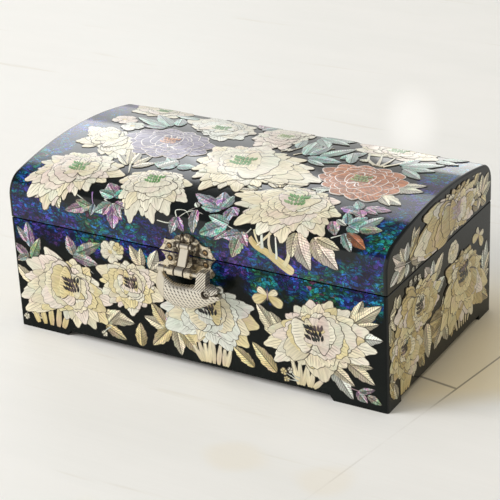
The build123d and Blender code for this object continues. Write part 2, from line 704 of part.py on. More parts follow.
def eyes_and_mouth(body):
    """The body with a ringed eye sunk into each side of the head, and a wedge for the mouth."""
    eye_z = bar_z - EYE_SPOT[1]
    for side in (-1, 1):
        ring_y = front(BAR_OUT) + side * EYE_SPOT_OUT
        place = Pos(EYE_SPOT[0], ring_y, eye_z) * Rot(90, 0, 0)
        socket_y = sorted((ring_y - side * EYE_SPOT_DEPTH, ring_y + side * EYE_SPOT_OUT))
        body += place * Torus(EYE_SPOT_RADIUS + EYE_SPOT_RING / 2, EYE_SPOT_RING)
        body -= rod_y(EYE_SPOT_RADIUS, EYE_SPOT[0], socket_y, eye_z)
    tip_x, tip_depth = FISH_STATIONS[-1][:2]
    wedge = Polyline((-MOUTH_LENGTH, 0), (1, MOUTH_OPENING), (1, -MOUTH_OPENING), close=True)
    mouth_place = Pos(tip_x, front(BAR_OUT), bar_z - tip_depth) * Rot(0, -MOUTH_SLOPE, 0)
    mouth = extrude(Plane.XZ * make_face(wedge), amount=EYE_SPOT_OUT * 2, both=True)
    return body - mouth_place * mouth


def lock_body():
    """The fish without its tail: hollow for the bolt, with a keyway and a socket for the bar's tip."""
    body = eyes_and_mouth(fish_side((LOCK_SPLIT_X, half_length)) + fin())
    socket_end = BAR_TIP_X + BAR_SOCKET_DEPTH
    body -= rod_x(BAR_RADIUS + PIN_CLEARANCE, (LOCK_SPLIT_X, socket_end), front(BAR_OUT), bar_z)
    cavity_end = BOLT_TIP_X + CAVITY_END_GAP
    body -= block(
        (LOCK_SPLIT_X, cavity_end),
        (front(BAR_OUT + CAVITY_HALF_WIDTH), front(BAR_OUT - CAVITY_HALF_WIDTH)),
        (bolt_z - CAVITY_HALF_HEIGHT, bolt_z + CAVITY_HALF_HEIGHT),
    )
    return body - block(
        (cavity_end, half_length),
        (front(BAR_OUT + KEYWAY_WIDTH / 2), front(BAR_OUT - KEYWAY_WIDTH / 2)),
        (bolt_z - KEYWAY_HEIGHT / 2, bolt_z + KEYWAY_HEIGHT / 2),
    )


def lock_bolt():
    """The fish's tail, which carries the bar outside the body and the bolt inside it."""
    tail = fish_side((-half_length, LOCK_SPLIT_X - LOCK_JOINT))
    tail += rod_x(TAIL_BOSS_RADIUS, TAIL_BOSS_X, front(BAR_OUT), bar_z)
    tail += rod_x(BAR_RADIUS, (TAIL_BOSS_X[0], BAR_TIP_X), front(BAR_OUT), bar_z)
    bolt = block(
        (LOCK_SPLIT_X - BAR_RADIUS, BOLT_TIP_X),
        (front(BAR_OUT + BOLT_WIDTH / 2), front(BAR_OUT - BOLT_WIDTH / 2)),
        (bolt_z - BOLT_HEIGHT / 2, bolt_z + BOLT_HEIGHT / 2),
    )
    return tail + bolt


def lock_springs():
    """Two leaf springs, seated on the bolt's tip and spread towards the tail."""
    inner = BOLT_WIDTH / 2
    seat_x = BOLT_TIP_X - SPRING_SEAT
    end_x = BOLT_TIP_X - SPRING_LENGTH
    leaf = Polyline(
        (BOLT_TIP_X, inner),
        (BOLT_TIP_X, inner + SPRING),
        (seat_x, inner + SPRING),
        (end_x, inner + SPRING_SPREAD + SPRING),
        (end_x, inner + SPRING_SPREAD),
        (seat_x, inner),
        close=True,
    )
    strip = extrude(Plane.XY * make_face(leaf), amount=BOLT_HEIGHT / 2 - SPRING, both=True)
    other = mirror(strip, Plane.XZ)
    place = Pos(0, front(BAR_OUT), bolt_z)
    return group([place * strip, place * other])


def latch():
    """Everything on the front: both plates with their pins, the hasp and the padlock."""
    return {
        "lid_plate": lid_plate(),
        "lid_plate_pins": plate_pins(lid_plate_edge + PLATE_PIN_FROM_EDGE),
        "hasp": hasp(),
        "hasp_pin": hasp_pin(),
        "body_plate": body_plate(),
        "body_plate_pins": plate_pins(body_plate_edge - PLATE_PIN_FROM_EDGE),
        "lock_body": lock_body(),
        "lock_bolt": lock_bolt(),
        "lock_springs": lock_springs(),
    }


def all_parts():
    """Every piece about the middle of the case, by the name of its node."""
    return {
        **body_panels(),
        **feet(),
        **body_lining(),
        **tray(),
        **lid(),
        **hinges(),
        **latch(),
    }


parts = all_parts()
boxes = [piece.bounding_box() for piece in parts.values()]
shift_y = -(min(box.min.Y for box in boxes) + max(box.max.Y for box in boxes)) / 2

os.makedirs("parts", exist_ok=True)
for node, piece in parts.items():
    export_step(Pos(0, shift_y, 0) * piece, f"parts/{node}.step")
print(f"{len(parts)} nodes, moved {shift_y:.3f} mm along Y")
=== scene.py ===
"""Looks of the inlaid jewellery box: shell inlay, lacquer, old brass, velvet, light and camera.

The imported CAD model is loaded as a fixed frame. Its nodes get procedural materials, and the inlay
is laid over its faces as closed slices of shell, worked out with numpy on charts of those faces.
Chart positions are in millimetres, finished meshes in metres.
"""
from __future__ import annotations

import json
import logging
import math
from dataclasses import dataclass, field, replace
from enum import Enum
from typing import Sequence, Union

import bpy
import numpy as np
from mathutils import Matrix, Vector

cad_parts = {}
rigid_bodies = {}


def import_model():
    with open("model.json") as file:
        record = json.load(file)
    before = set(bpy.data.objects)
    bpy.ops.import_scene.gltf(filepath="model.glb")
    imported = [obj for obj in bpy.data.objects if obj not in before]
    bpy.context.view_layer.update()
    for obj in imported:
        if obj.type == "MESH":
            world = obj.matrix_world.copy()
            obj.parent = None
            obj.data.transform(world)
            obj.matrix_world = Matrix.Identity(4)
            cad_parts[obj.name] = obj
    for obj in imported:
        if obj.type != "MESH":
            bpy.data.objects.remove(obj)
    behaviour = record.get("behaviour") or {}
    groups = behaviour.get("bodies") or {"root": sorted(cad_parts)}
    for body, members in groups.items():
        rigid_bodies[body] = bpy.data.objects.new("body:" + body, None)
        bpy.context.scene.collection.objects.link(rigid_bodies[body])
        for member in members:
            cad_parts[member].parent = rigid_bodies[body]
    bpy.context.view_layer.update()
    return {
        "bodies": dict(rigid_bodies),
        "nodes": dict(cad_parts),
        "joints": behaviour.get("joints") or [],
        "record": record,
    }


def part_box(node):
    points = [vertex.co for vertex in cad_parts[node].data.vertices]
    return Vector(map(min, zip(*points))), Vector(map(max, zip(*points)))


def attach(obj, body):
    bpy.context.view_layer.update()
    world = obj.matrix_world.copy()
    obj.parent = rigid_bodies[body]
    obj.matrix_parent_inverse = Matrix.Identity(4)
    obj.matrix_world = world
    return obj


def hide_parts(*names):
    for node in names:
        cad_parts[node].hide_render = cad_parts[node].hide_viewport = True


LOG = logging.getLogger("jewelry_box")
MM = 0.001
NUMBER, COLOUR = "NodeSocketFloat", "NodeSocketColor"
TONE_DEPTH = 57.0

Array = np.ndarray
Socket = bpy.types.NodeSocket
Feed = Union[Socket, float, Sequence[float]]
Inputs = dict[Union[str, int], Feed]
Pair = tuple[float, float]
Point = tuple[float, float, float]
Colour = tuple[float, float, float]
Stops = Sequence[tuple[float, Colour]]

ABALONE: Stops = (
    (0.0, (0.10, 0.05, 0.36)), (0.16, (0.36, 0.12, 0.44)), (0.30, (0.70, 0.26, 0.44)),
    (0.42, (0.86, 0.74, 0.76)), (0.52, (0.78, 0.88, 0.82)), (0.62, (0.12, 0.62, 0.56)),
    (0.76, (0.02, 0.26, 0.30)), (0.88, (0.08, 0.46, 0.20)), (1.0, (0.66, 0.52, 0.26)),
)
CRUSHED: Stops = (
    (0.0, (0.16, 0.06, 0.30)), (0.20, (0.09, 0.05, 0.38)), (0.40, (0.03, 0.06, 0.44)),
    (0.54, (0.02, 0.16, 0.48)), (0.68, (0.02, 0.27, 0.38)), (0.82, (0.02, 0.27, 0.18)),
    (0.92, (0.05, 0.22, 0.08)), (1.0, (0.36, 0.10, 0.28)),
)


class Side(Enum):
    """Upright faces of the case, as one looks at the front.

    Each says whether it runs along the length, and the sign of its own run to the right.
    """

    FRONT = (True, 1.0)
    REAR = (True, -1.0)
    LEFT = (False, -1.0)
    RIGHT = (False, 1.0)


class Edge(Enum):
    """Outlines that a petal can have at its free end."""

    ROUND = "round"
    LOBED = "lobed"
    POINTED = "pointed"


class Shell(Enum):
    """Kinds of shell and dye, each with a root colour, a tip colour and its share of abalone."""

    CREAM = ((0.70, 0.61, 0.38), (0.85, 0.79, 0.60), 0.05)
    IVORY = ((0.74, 0.69, 0.52), (0.86, 0.83, 0.70), 0.05)
    STRAW = ((0.64, 0.51, 0.22), (0.81, 0.71, 0.41), 0.04)
    GILT = ((0.36, 0.26, 0.09), (0.62, 0.49, 0.22), 0.05)
    BLUSH = ((0.76, 0.62, 0.50), (0.85, 0.76, 0.68), 0.09)
    WHITE = ((0.68, 0.72, 0.64), (0.82, 0.85, 0.78), 0.08)
    CORAL = ((0.12, 0.024, 0.010), (0.55, 0.21, 0.085), 0.03)
    VIOLET = ((0.11, 0.09, 0.18), (0.28, 0.25, 0.35), 0.06)
    TEAL = ((0.03, 0.30, 0.27), (0.38, 0.80, 0.68), 0.42)
    SEA = ((0.20, 0.46, 0.41), (0.58, 0.78, 0.70), 0.34)
    AQUA = ((0.28, 0.52, 0.46), (0.68, 0.84, 0.76), 0.22)
    LILAC = ((0.28, 0.14, 0.42), (0.70, 0.50, 0.80), 0.55)
    ROSE = ((0.52, 0.17, 0.31), (0.84, 0.57, 0.68), 0.55)
    MOSS = ((0.16, 0.26, 0.09), (0.48, 0.54, 0.24), 0.42)
    MAUVE = ((0.27, 0.17, 0.20), (0.60, 0.47, 0.49), 0.42)
    GREEN = ((0.05, 0.20, 0.035), (0.15, 0.36, 0.08), 0.0)
    PEACH = ((0.60, 0.26, 0.14), (0.74, 0.46, 0.30), 0.0)
    INK = ((0.008, 0.008, 0.009), (0.014, 0.014, 0.015), 0.0)

    @property
    def root(self) -> Array:
        """Colour where the slice starts."""
        return np.array(self.value[0])

    @property
    def tip(self) -> Array:
        """Colour at the slice's free end."""
        return np.array(self.value[1])

    @property
    def play(self) -> float:
        """Share of abalone's play of colour over the slice's own."""
        return self.value[2]


(CREAM, IVORY, STRAW, GILT, BLUSH, WHITE, CORAL, VIOLET, TEAL, SEA, AQUA, LILAC, ROSE, MOSS, MAUVE,
 GREEN, PEACH, INK) = Shell


@dataclass(frozen=True)
class Case:
    """Outside sizes of the closed case in millimetres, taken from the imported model."""

    half_length: float
    half_depth: float
    middle: float
    body_top: float
    lid_bottom: float
    top: float
    shoulder: float = 14.0
    crown: float = 282.0

    @classmethod
    def from_frame(cls) -> "Case":
        """Reads the sizes of the body panels and the lid from the frame.

        Returns:
            The sizes.
        """
        front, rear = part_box("body_front_panel")[0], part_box("body_rear_panel")[1]
        right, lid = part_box("body_right_panel")[1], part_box("lid_shell")
        return cls(
            half_length=right.x / MM,
            half_depth=(rear.y - front.y) / 2 / MM,
            middle=(rear.y + front.y) / 2 / MM,
            body_top=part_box("body_front_panel")[1].z / MM,
            lid_bottom=lid[0].z / MM,
            top=lid[1].z / MM,
        )

    @property
    def run(self) -> float:
        """Distance from the middle to the centre of a shoulder's arc."""
        return self.half_depth - self.shoulder

    @property
    def crown_centre(self) -> float:
        """Height of the centre of the crown's arc."""
        return self.top - self.crown

    @property
    def shoulder_centre(self) -> float:
        """Height of the centre of a shoulder's arc, which touches the crown's arc."""
        reach = self.crown - self.shoulder
        return self.crown_centre + math.sqrt(reach**2 - self.run**2)


@dataclass(frozen=True)
class WallChart:
    """A flat upright face: a runs to the right as one faces it, and b is the height.

    Margin is the least distance from the face's upright edges.
    """

    case: Case
    side: Side
    body: str
    low: float
    high: float
    margin: float = 1.6

    def place(self, a: Array, b: Array, proud: Array) -> Array:
        """Puts chart points into space.

        Args:
            a: distance to the right of the face's middle.
            b: height above the table.
            proud: height over the face.

        Returns:
            Points as an array with x, y and z last, in metres.
        """
        case = self.case
        along_x, sign = self.side.value
        limit = (case.half_length if along_x else case.half_depth) - self.margin
        a = np.clip(a, -limit, limit) * sign
        b = np.clip(b, self.low, self.high)
        if along_x:
            x, y = a, -sign * (case.half_depth + proud)
        else:
            x, y = sign * (case.half_length + proud), a
        x, y, b = np.broadcast_arrays(x, y, b)
        return np.stack([x, y + case.middle, b], -1) * MM


@dataclass(frozen=True)
class GableChart(WallChart):
    """An end of the lid: a wall whose upper limit follows the lid's bow.

    The inlay keeps a distance under the crown and another one under the shoulders.
    """

    under_crown: float = 3.4
    under_shoulder: float = 3.0

    def place(self, a: Array, b: Array, proud: Array) -> Array:
        """Puts chart points into space, kept under the bow.

        Args:
            a: distance to the right of the face's middle.
            b: height above the table.
            proud: height over the face.

        Returns:
            Points as an array with x, y and z last, in metres.
        """
        case = self.case
        bow = case.crown_centre + np.sqrt(case.crown**2 - np.asarray(a) ** 2) - self.under_crown
        over = np.maximum(np.abs(a) - case.run, 0.0)
        radius = case.shoulder - self.under_shoulder
        round_off = case.shoulder_centre + np.sqrt(np.maximum(radius**2 - over**2, 1.0))
        roof = np.where(over > 0, np.minimum(bow, round_off), bow)
        return super().place(a, np.minimum(b, roof), proud)


@dataclass(frozen=True)
class LidChart:
    """The bent lid: a runs along the length and b is the arc length from the lower front edge.

    The section is a wall, a shoulder arc, the crown arc, a shoulder arc and a wall. Each point is
    found from the turn of the outward normal, which grows evenly along each arc. Points keep a
    margin to the ends and to the lower edges.
    """

    case: Case
    body: str = "lid"
    end_margin: float = 2.2
    edge_margin: float = 0.6

    def section(self, b: Array, proud: Array) -> tuple[Array, Array]:
        """Finds the section's point for an arc length.

        Args:
            b: arc length from the lower front edge.
            proud: height over the surface.

        Returns:
            Distance behind the middle, and height.
        """
        case = self.case
        steep = math.atan2(case.shoulder_centre - case.crown_centre, case.run)
        wall = case.shoulder_centre - case.lid_bottom
        bend = case.shoulder * steep
        crown = case.crown * (math.pi - 2 * steep)
        starts = np.cumsum([wall, bend, crown, bend])
        total = starts[-1] + wall
        b = np.clip(b, self.edge_margin, total - self.edge_margin)
        turn = np.select(
            [b < starts[0], b < starts[1], b < starts[2], b < starts[3]],
            [
                0.0 * b,
                (b - starts[0]) / case.shoulder,
                steep + (b - starts[1]) / case.crown,
                math.pi - steep + (b - starts[2]) / case.shoulder,
            ],
            math.pi,
        )
        on_crown = (b >= starts[1]) & (b < starts[2])
        radius = np.where(on_crown, case.crown, case.shoulder) + proud
        centre_y = np.where(on_crown, 0.0, np.where(b < starts[1], -case.run, case.run))
        centre_z = np.where(on_crown, case.crown_centre, case.shoulder_centre)
        drop = np.where(b < starts[0], b - starts[0], np.where(b > starts[3], starts[3] - b, 0.0))
        y = centre_y - radius * np.cos(turn)
        z = centre_z + radius * np.sin(turn) * np.where(drop < 0, 0.0, 1.0) + drop
        return y, z

    def place(self, a: Array, b: Array, proud: Array) -> Array:
        """Puts chart points into space.

        Args:
            a: distance to the right of the middle.
            b: arc length from the lower front edge.
            proud: height over the surface.

        Returns:
            Points as an array with x, y and z last, in metres.
        """
        limit = self.case.half_length - self.end_margin
        y, z = self.section(np.asarray(b, float), proud)
        x, y, z = np.broadcast_arrays(np.clip(a, -limit, limit), y, z)
        return np.stack([x, y + self.case.middle, z], -1) * MM


Chart = Union[WallChart, LidChart]


@dataclass
class Slice:
    """One flat piece of shell as a grid: rows run from root to tip and columns across.

    along and across are the grid's own millimetres, rim is the distance from the outline.
    """

    along: Array
    across: Array
    rim: Array
    reach: Array

    def set_down(self, at: Pair, angle: float) -> tuple[Array, Array]:
        """Turns the slice and moves its root to a chart point.

        Args:
            at: the chart point.
            angle: in radians.

        Returns:
            Chart positions of the grid, a and b.
        """
        c, s = math.cos(angle), math.sin(angle)
        return (
            at[0] + self.along * c - self.across * s,
            at[1] + self.along * s + self.across * c,
        )


def petal(length: float, width: float, edge: Edge, phase: float = 0.0, root: float = 0.22,
          size: tuple[int, int] = (10, 13)) -> Slice:
    """Works out a petal.

    With u from root to tip and v across, the half width is the root share plus the rest times
    the sine of a quarter turn of u, and the length is u times a tip curve in v. The tip curve
    falls from 1 in the middle to the height of the petal's shoulders, on a circle for round
    petals and nearly straight for pointed ones, less a row of notches.

    Args:
        length: from the root to the tip.
        width: across the widest place.
        edge: outline of the free end.
        phase: shift of the notches.
        root: width at the root as a share of the whole.
        size: rows and columns of the grid.

    Returns:
        The petal as a slice.
    """
    u = np.linspace(0.0, 1.0, size[0])[:, None] ** 0.85
    v = np.sin(np.linspace(-0.5, 0.5, size[1]) * math.pi * 0.96)[None, :] / math.sin(0.48 * math.pi)
    if edge is Edge.POINTED:
        tip = 0.5 + 0.5 * np.abs(1 - np.abs(v + 0.1 * math.sin(phase)) ** 1.7 / 1.18) ** 0.8
        notch = 0.06 * np.exp(-(((np.abs(v) - 0.42 - 0.02 * phase) / 0.10) ** 2))
    elif edge is Edge.LOBED:
        tip = 0.6 + 0.4 * np.sqrt(np.abs(1 - v**2))
        notch = 0.10 * (1 - np.abs(np.cos(1.7 * math.pi * v + phase)) ** 0.6)
    else:
        tip = 0.58 + 0.42 * np.sqrt(np.abs(1 - v**2))
        notch = 0.02 * (1 + np.sin(5 * v + phase))
    tip = tip * (1 - notch)
    spread = root + (1 - root) * np.sin(0.5 * math.pi * u) ** 0.9
    along = length * u * tip + 0 * v
    across = 0.5 * width * v * spread
    rim = np.minimum((1 - u) * length * tip, (1 - np.abs(v)) * 0.5 * width * spread)
    return Slice(along, across, rim, u + 0 * v)


def leaf(length: float, width: float, teeth: float = 0.0, bend: float = 0.0, rows: int = 17) -> Slice:
    """Works out a leaf.

    The half width is a sine of the way along, raised so that the leaf is fullest below its
    middle, less notches between teeth that point to the tip. The midrib bends as a parabola.

    Args:
        length: from stalk to tip.
        width: across the fullest place.
        teeth: depth of the notches as a share of the width.
        bend: sideways sag of the midrib's middle.
        rows: grid rows along the leaf.

    Returns:
        The leaf as a slice.
    """
    u = np.linspace(0.0, 1.0, rows)[:, None]
    v = np.linspace(-1.0, 1.0, 9)[None, :]
    half = 0.5 * width * np.sin(math.pi * u**0.8) ** 0.8
    saw = (u * 4.0) % 1.0
    half = np.maximum(half * (1 - teeth * (1 - saw) * (u > 0.12)), 0.10)
    across = half * v + bend * 4 * u * (1 - u)
    along = length * u - 0.12 * width * teeth * np.abs(v) + 0 * v
    rim = np.minimum(half * (1 - np.abs(v)), (1 - u) * length * 0.5 + 0 * v)
    return Slice(along, across, rim, u + 0 * v)


def ribbon(points: Sequence[Pair], width: float, taper: float) -> tuple[Array, Array, Slice]:
    """Works out a stem along a path.

    The path is a Catmull-Rom curve through the points: each stretch is a cubic that leaves and
    enters its ends along the line between their neighbours. The ribbon runs half its width to
    each side, along the path's normal, and narrows towards its end.

    Args:
        points: chart points on the path.
        width: width at the start.
        taper: share of the width that is left at the end.

    Returns:
        Chart positions of the grid, a and b, and its slice.
    """
    p = np.array([points[0], *points, points[-1]], float)
    t = np.linspace(0, 1, 7)[:-1, None]
    runs = [
        0.5 * (2 * p[i] + (p[i + 1] - p[i - 1]) * t
               + (2 * p[i - 1] - 5 * p[i] + 4 * p[i + 1] - p[i + 2]) * t**2
               + (3 * p[i] - p[i - 1] - 3 * p[i + 1] + p[i + 2]) * t**3)
        for i in range(1, len(p) - 2)
    ]
    path = np.concatenate([*runs, p[-1:]])
    slope = np.gradient(path, axis=0)
    slope /= np.linalg.norm(slope, axis=1, keepdims=True) + 1e-9
    u = np.linspace(0, 1, len(path))[:, None]
    v = np.linspace(-1, 1, 3)[None, :]
    half = 0.5 * width * (1 - (1 - taper) * u) * np.sqrt(1 - 0.96 * u**10)
    a = path[:, :1] - slope[:, 1:] * half * v
    b = path[:, 1:] + slope[:, :1] * half * v
    run = np.concatenate([[0], np.cumsum(np.linalg.norm(np.diff(path, axis=0), axis=1))])[:, None]
    return a, b, Slice(run + 0 * v, half * v, half * (1 - np.abs(v)) + 0.32 + 0 * u, u + 0 * v)


def closed_faces(rows: int, columns: int) -> Array:
    """Closes a grid of points over a second grid of the same size that lies underneath.

    The faces are the upper grid's cells, the lower grid's cells turned over, and a wall one face
    high round the rim. The lower grid's points are numbered on from the upper grid's.

    Args:
        rows: rows of each grid.
        columns: columns of each grid.

    Returns:
        Four-sided faces, by the numbers of their points.
    """
    index = np.arange(rows * columns).reshape(rows, columns)
    cells = np.stack([index[:-1, :-1], index[1:, :-1], index[1:, 1:], index[:-1, 1:]], -1).reshape(-1, 4)
    ring = np.concatenate([index[:, 0], index[-1, 1:], index[-2::-1, -1], index[0, -2:0:-1]])
    after, low = np.roll(ring, -1), rows * columns
    wall = np.stack([after, ring, ring + low, after + low], -1)
    return np.concatenate([cells, cells[:, ::-1] + low, wall])


def add_object(name: str, data: bpy.types.ID) -> bpy.types.Object:
    """Makes an object of some data and puts it into the scene."""
    piece = bpy.data.objects.new(name, data)
    bpy.context.scene.collection.objects.link(piece)
    return piece


@dataclass
class Inlay:
    """Collects slices of shell on one chart and makes one mesh object of them.

    Each slice is closed: its grid at the top, the same grid sunk into the face, and a wall round
    the rim. Every slice lies a little over the one before, as they would overlap. All sizes are
    in millimetres.
    """

    chart: Chart
    base: float = 0.14
    step: float = 0.012
    seed: int = 1
    sunk: float = 0.25
    crown: float = 0.05
    crown_reach: float = 0.6
    darkest: float = 0.86
    tone_range: float = 0.20
    sharp_edge: float = 35.0
    points: list[Array] = field(default_factory=list)
    faces: list[Array] = field(default_factory=list)
    marks: list[Array] = field(default_factory=list)
    tints: list[Array] = field(default_factory=list)
    count: int = 0
    lift: float = 0.0

    def __post_init__(self) -> None:
        """Seeds the draws of tone, so that each run gives the same inlay."""
        self.draw = np.random.default_rng(self.seed)

    def lay(self, a: Array, b: Array, cut: Slice, shell: Shell) -> None:
        """Adds one closed slice, in a tone drawn at random.

        The slice's height grows evenly over its crown's reach from the outline, and is level
        further in. Its tint goes evenly from the shell's root colour to its tip colour.

        Args:
            a: chart positions of the grid, to the right.
            b: chart positions of the grid, upwards.
            cut: the slice, for its marks.
            shell: colour of the slice.
        """
        tone = float(self.draw.uniform())
        height = self.base + self.lift + self.crown * np.minimum(cut.rim / self.crown_reach, 1.0)
        top = self.chart.place(a, b, height).reshape(-1, 3)
        under = self.chart.place(a, b, np.full_like(a, -self.sunk)).reshape(-1, 3)
        self.faces.append(closed_faces(*a.shape) + sum(len(p) for p in self.points))
        self.points += [top, under]
        mark = np.stack([cut.rim, cut.along, cut.across, cut.reach, np.full_like(a, tone),
                         np.full_like(a, shell.play)], -1).reshape(-1, 6)
        blend = cut.reach.reshape(-1, 1)
        tint = (shell.root * (1 - blend) + shell.tip * blend) * (self.darkest + self.tone_range * tone)
        self.marks += [mark, mark]
        self.tints += [tint, tint]
        self.count += 1
        self.lift += self.step

    def add(self, cut: Slice, at: Pair, angle: float, shell: Shell) -> None:
        """Adds a slice with its root at a chart point, turned by an angle in radians."""
        self.lay(*cut.set_down(at, angle), cut, shell)

    def make(self, name: str, finish: bpy.types.Material) -> bpy.types.Object:
        """Makes the mesh object, with its marks as attributes, and hangs it on the chart's body.

        Args:
            name: name of the piece.
            finish: its material.

        Returns:
            The finished object.
        """
        points = np.concatenate(self.points)
        faces = np.concatenate(self.faces)
        mesh = bpy.data.meshes.new(name)
        mesh.vertices.add(len(points))
        mesh.vertices.foreach_set("co", points.astype(np.float32).ravel())
        mesh.loops.add(faces.size)
        mesh.loops.foreach_set("vertex_index", faces.astype(np.int32).ravel())
        mesh.polygons.add(len(faces))
        mesh.polygons.foreach_set("loop_start", np.arange(0, faces.size, 4, dtype=np.int32))
        mesh.update(calc_edges=True)
        mesh.validate()
        marks = np.concatenate(self.marks).astype(np.float32)
        for i, label in enumerate(("rim", "along", "across", "reach", "tone", "play")):
            layer = mesh.attributes.new(label, "FLOAT", "POINT")
            layer.data.foreach_set("value", np.ascontiguousarray(marks[:, i]))
        tints = np.concatenate(self.tints).astype(np.float32)
        tints = np.concatenate([tints, np.ones((len(tints), 1), np.float32)], 1)
        mesh.attributes.new("tint", "FLOAT_COLOR", "POINT").data.foreach_set("color", tints.ravel())
        mesh.shade_smooth()
        mesh.set_sharp_from_angle(angle=math.radians(self.sharp_edge))
        mesh.materials.append(finish)
        piece = add_object(name, mesh)
        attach(piece, self.chart.body)
        LOG.info("%s: %d slices, %d faces", name, self.count, len(faces))
        return piece


Rings = Sequence[tuple[float, int, float]]
INNER_RINGS: Rings = ((0.70, 10, 0.56), (0.56, 8, 0.60), (0.42, 6, 0.66), (0.27, 4, 0.80))
DYED_RINGS: Rings = ((0.76, 10, 0.50), (0.58, 8, 0.54), (0.40, 6, 0.60), (0.24, 4, 0.8))
END_RINGS: Rings = ((0.80, 12, 0.48), (0.66, 11, 0.50), (0.52, 9, 0.52), (0.38, 7, 0.56), (0.24, 5, 0.7))
FOUR_CREAMS = (CREAM, IVORY, STRAW, BLUSH, CREAM)
WARM_CREAMS = (STRAW, GILT, CREAM, STRAW, GILT, BLUSH, GILT)


@dataclass(frozen=True)
class Peony:
    """An open bloom: rings of petals round a heart of short anthers.

    The outer ring reaches to the given tips. Further in, the reach at an angle is read off the
    tips' reaches, joined by straight lines over the angle. A second ring fills the gaps between
    the tips. Each inner ring has its share of the reach, its number of petals, and their fullness:
    their width as a share of what would close the ring twice over.
    """

    heart: Pair
    tips: Sequence[Pair]
    shells: tuple[Shell, ...] = (CREAM, IVORY, CREAM, BLUSH)
    anthers: Shell = INK
    outer: Edge = Edge.POINTED
    layer: float = 0.0
    dyed: bool = False
    inner: Rings = INNER_RINGS
    outer_base: float = 0.2
    outer_size: tuple[int, int] = (13, 15)
    inner_size: tuple[int, int] = (10, 17)
    second_reach: float = 0.86

    def inlay(self, chart: Chart, name: str, finish: bpy.types.Material, seed: int) -> None:
        """Lays the bloom on a chart as one piece.

        Args:
            chart: the face it lies on.
            name: name of the piece.
            finish: material of the shell.
            seed: seed of its draws.
        """
        work = Inlay(chart, base=self.outer_base + self.layer, seed=seed)
        arms = np.array(self.tips, float) - np.array(self.heart)
        turns = np.arctan2(arms[:, 1], arms[:, 0])
        order = np.argsort(turns)
        turns, reaches = turns[order], np.hypot(arms[:, 0], arms[:, 1])[order]
        wrapped = np.concatenate([turns[-1:] - 2 * math.pi, turns, turns[:1] + 2 * math.pi])
        lengths = np.concatenate([reaches[-1:], reaches, reaches[:1]])
        self.add_outer(work, turns, wrapped, lengths)
        self.add_inner(work, wrapped, lengths)
        self.add_anthers(work, float(np.median(reaches)))
        work.make(name, finish)

    def add_outer(self, work: Inlay, turns: Array, wrapped: Array, lengths: Array) -> None:
        """Adds the petals to the tips, and the second ring between them.

        A petal is about as wide as the arc that it has to itself, within limits.

        Args:
            work: the bloom's inlay.
            turns: angles of the tips, in order.
            wrapped: the same, with the last one put before them and the first one after them.
            lengths: reaches at the wrapped angles.
        """
        draw = work.draw
        gaps = (wrapped[2:] - wrapped[:-2]) / 2
        after = np.diff(wrapped)[1:]
        for i in draw.permutation(len(turns)):
            reach = lengths[i + 1]
            width = float(np.clip(1.05 * gaps[i] * reach, 0.34 * reach, 0.72 * reach))
            cut = petal(reach, width, self.outer, draw.uniform(0, 6), size=self.outer_size)
            work.add(cut, self.heart, turns[i], self.pick(draw))
        for i in draw.permutation(len(turns)):
            angle = turns[i] + 0.5 * after[i]
            reach = self.second_reach * np.interp(angle, wrapped, lengths) * draw.uniform(0.95, 1.04)
            width = float(np.clip(after[i] * reach, 0.36 * reach, 0.7 * reach))
            cut = petal(reach, width, self.outer, draw.uniform(0, 6), size=self.outer_size)
            work.add(cut, self.heart, angle, self.pick(draw))

    def add_inner(self, work: Inlay, wrapped: Array, lengths: Array) -> None:
        """Adds the inner rings, whose petals vary more in an undyed bloom.

        Args:
            work: the bloom's inlay.
            wrapped: angles of the tips, with one more before and after them.
            lengths: reaches at these angles.
        """
        draw = work.draw
        play, edge = (0.5, Edge.ROUND) if self.dyed else (1.8, Edge.LOBED)
        for share, number, fullness in self.inner:
            turn = draw.uniform(0, 6.3)
            for i in draw.permutation(number):
                angle = (turn + 2 * math.pi * i / number + draw.uniform(-0.12, 0.12)) % (2 * math.pi)
                signed = angle - 2 * math.pi * (angle > math.pi)
                reach = share * np.interp(signed, wrapped, lengths) * (1 + play * draw.uniform(-0.08, 0.06))
                width = 4 * math.pi * reach / number * fullness * (1 + play * draw.uniform(-0.1, 0.06))
                drift = 0.03 * play * reach
                root = (self.heart[0] + draw.uniform(-drift, drift), self.heart[1] + draw.uniform(-drift, drift))
                cut = petal(reach, width, edge, draw.uniform(0, 6), size=self.inner_size)
                work.add(cut, root, angle, self.pick(draw))

    def pick(self, draw: np.random.Generator) -> Shell:
        """Picks the shell of a petal."""
        return self.shells[int(draw.integers(len(self.shells)))]

    def add_anthers(self, work: Inlay, reach: float) -> None:
        """Adds the heart: slanted dashes in three rows, over the innermost petals, with no outline.

        Args:
            work: the bloom's inlay.
            reach: usual reach of the outer petals.
        """
        draw, unit, middle = work.draw, reach * 0.055, 2.4
        for row in range(3):
            for column in range(6 - row % 2):
                off = column - middle
                at = (
                    self.heart[0] + (off + 0.5 * (row % 2)) * unit + draw.uniform(-0.2, 0.2) * unit,
                    self.heart[1] + (row - 1.6) * unit * 1.9 + abs(off) * 0.3 * unit,
                )
                dash = leaf(2.5 * unit, 1.1 * unit, rows=7)
                dash.rim = dash.rim + 2.0
                work.add(dash, at, math.radians(112 - 12 * off), self.anthers)


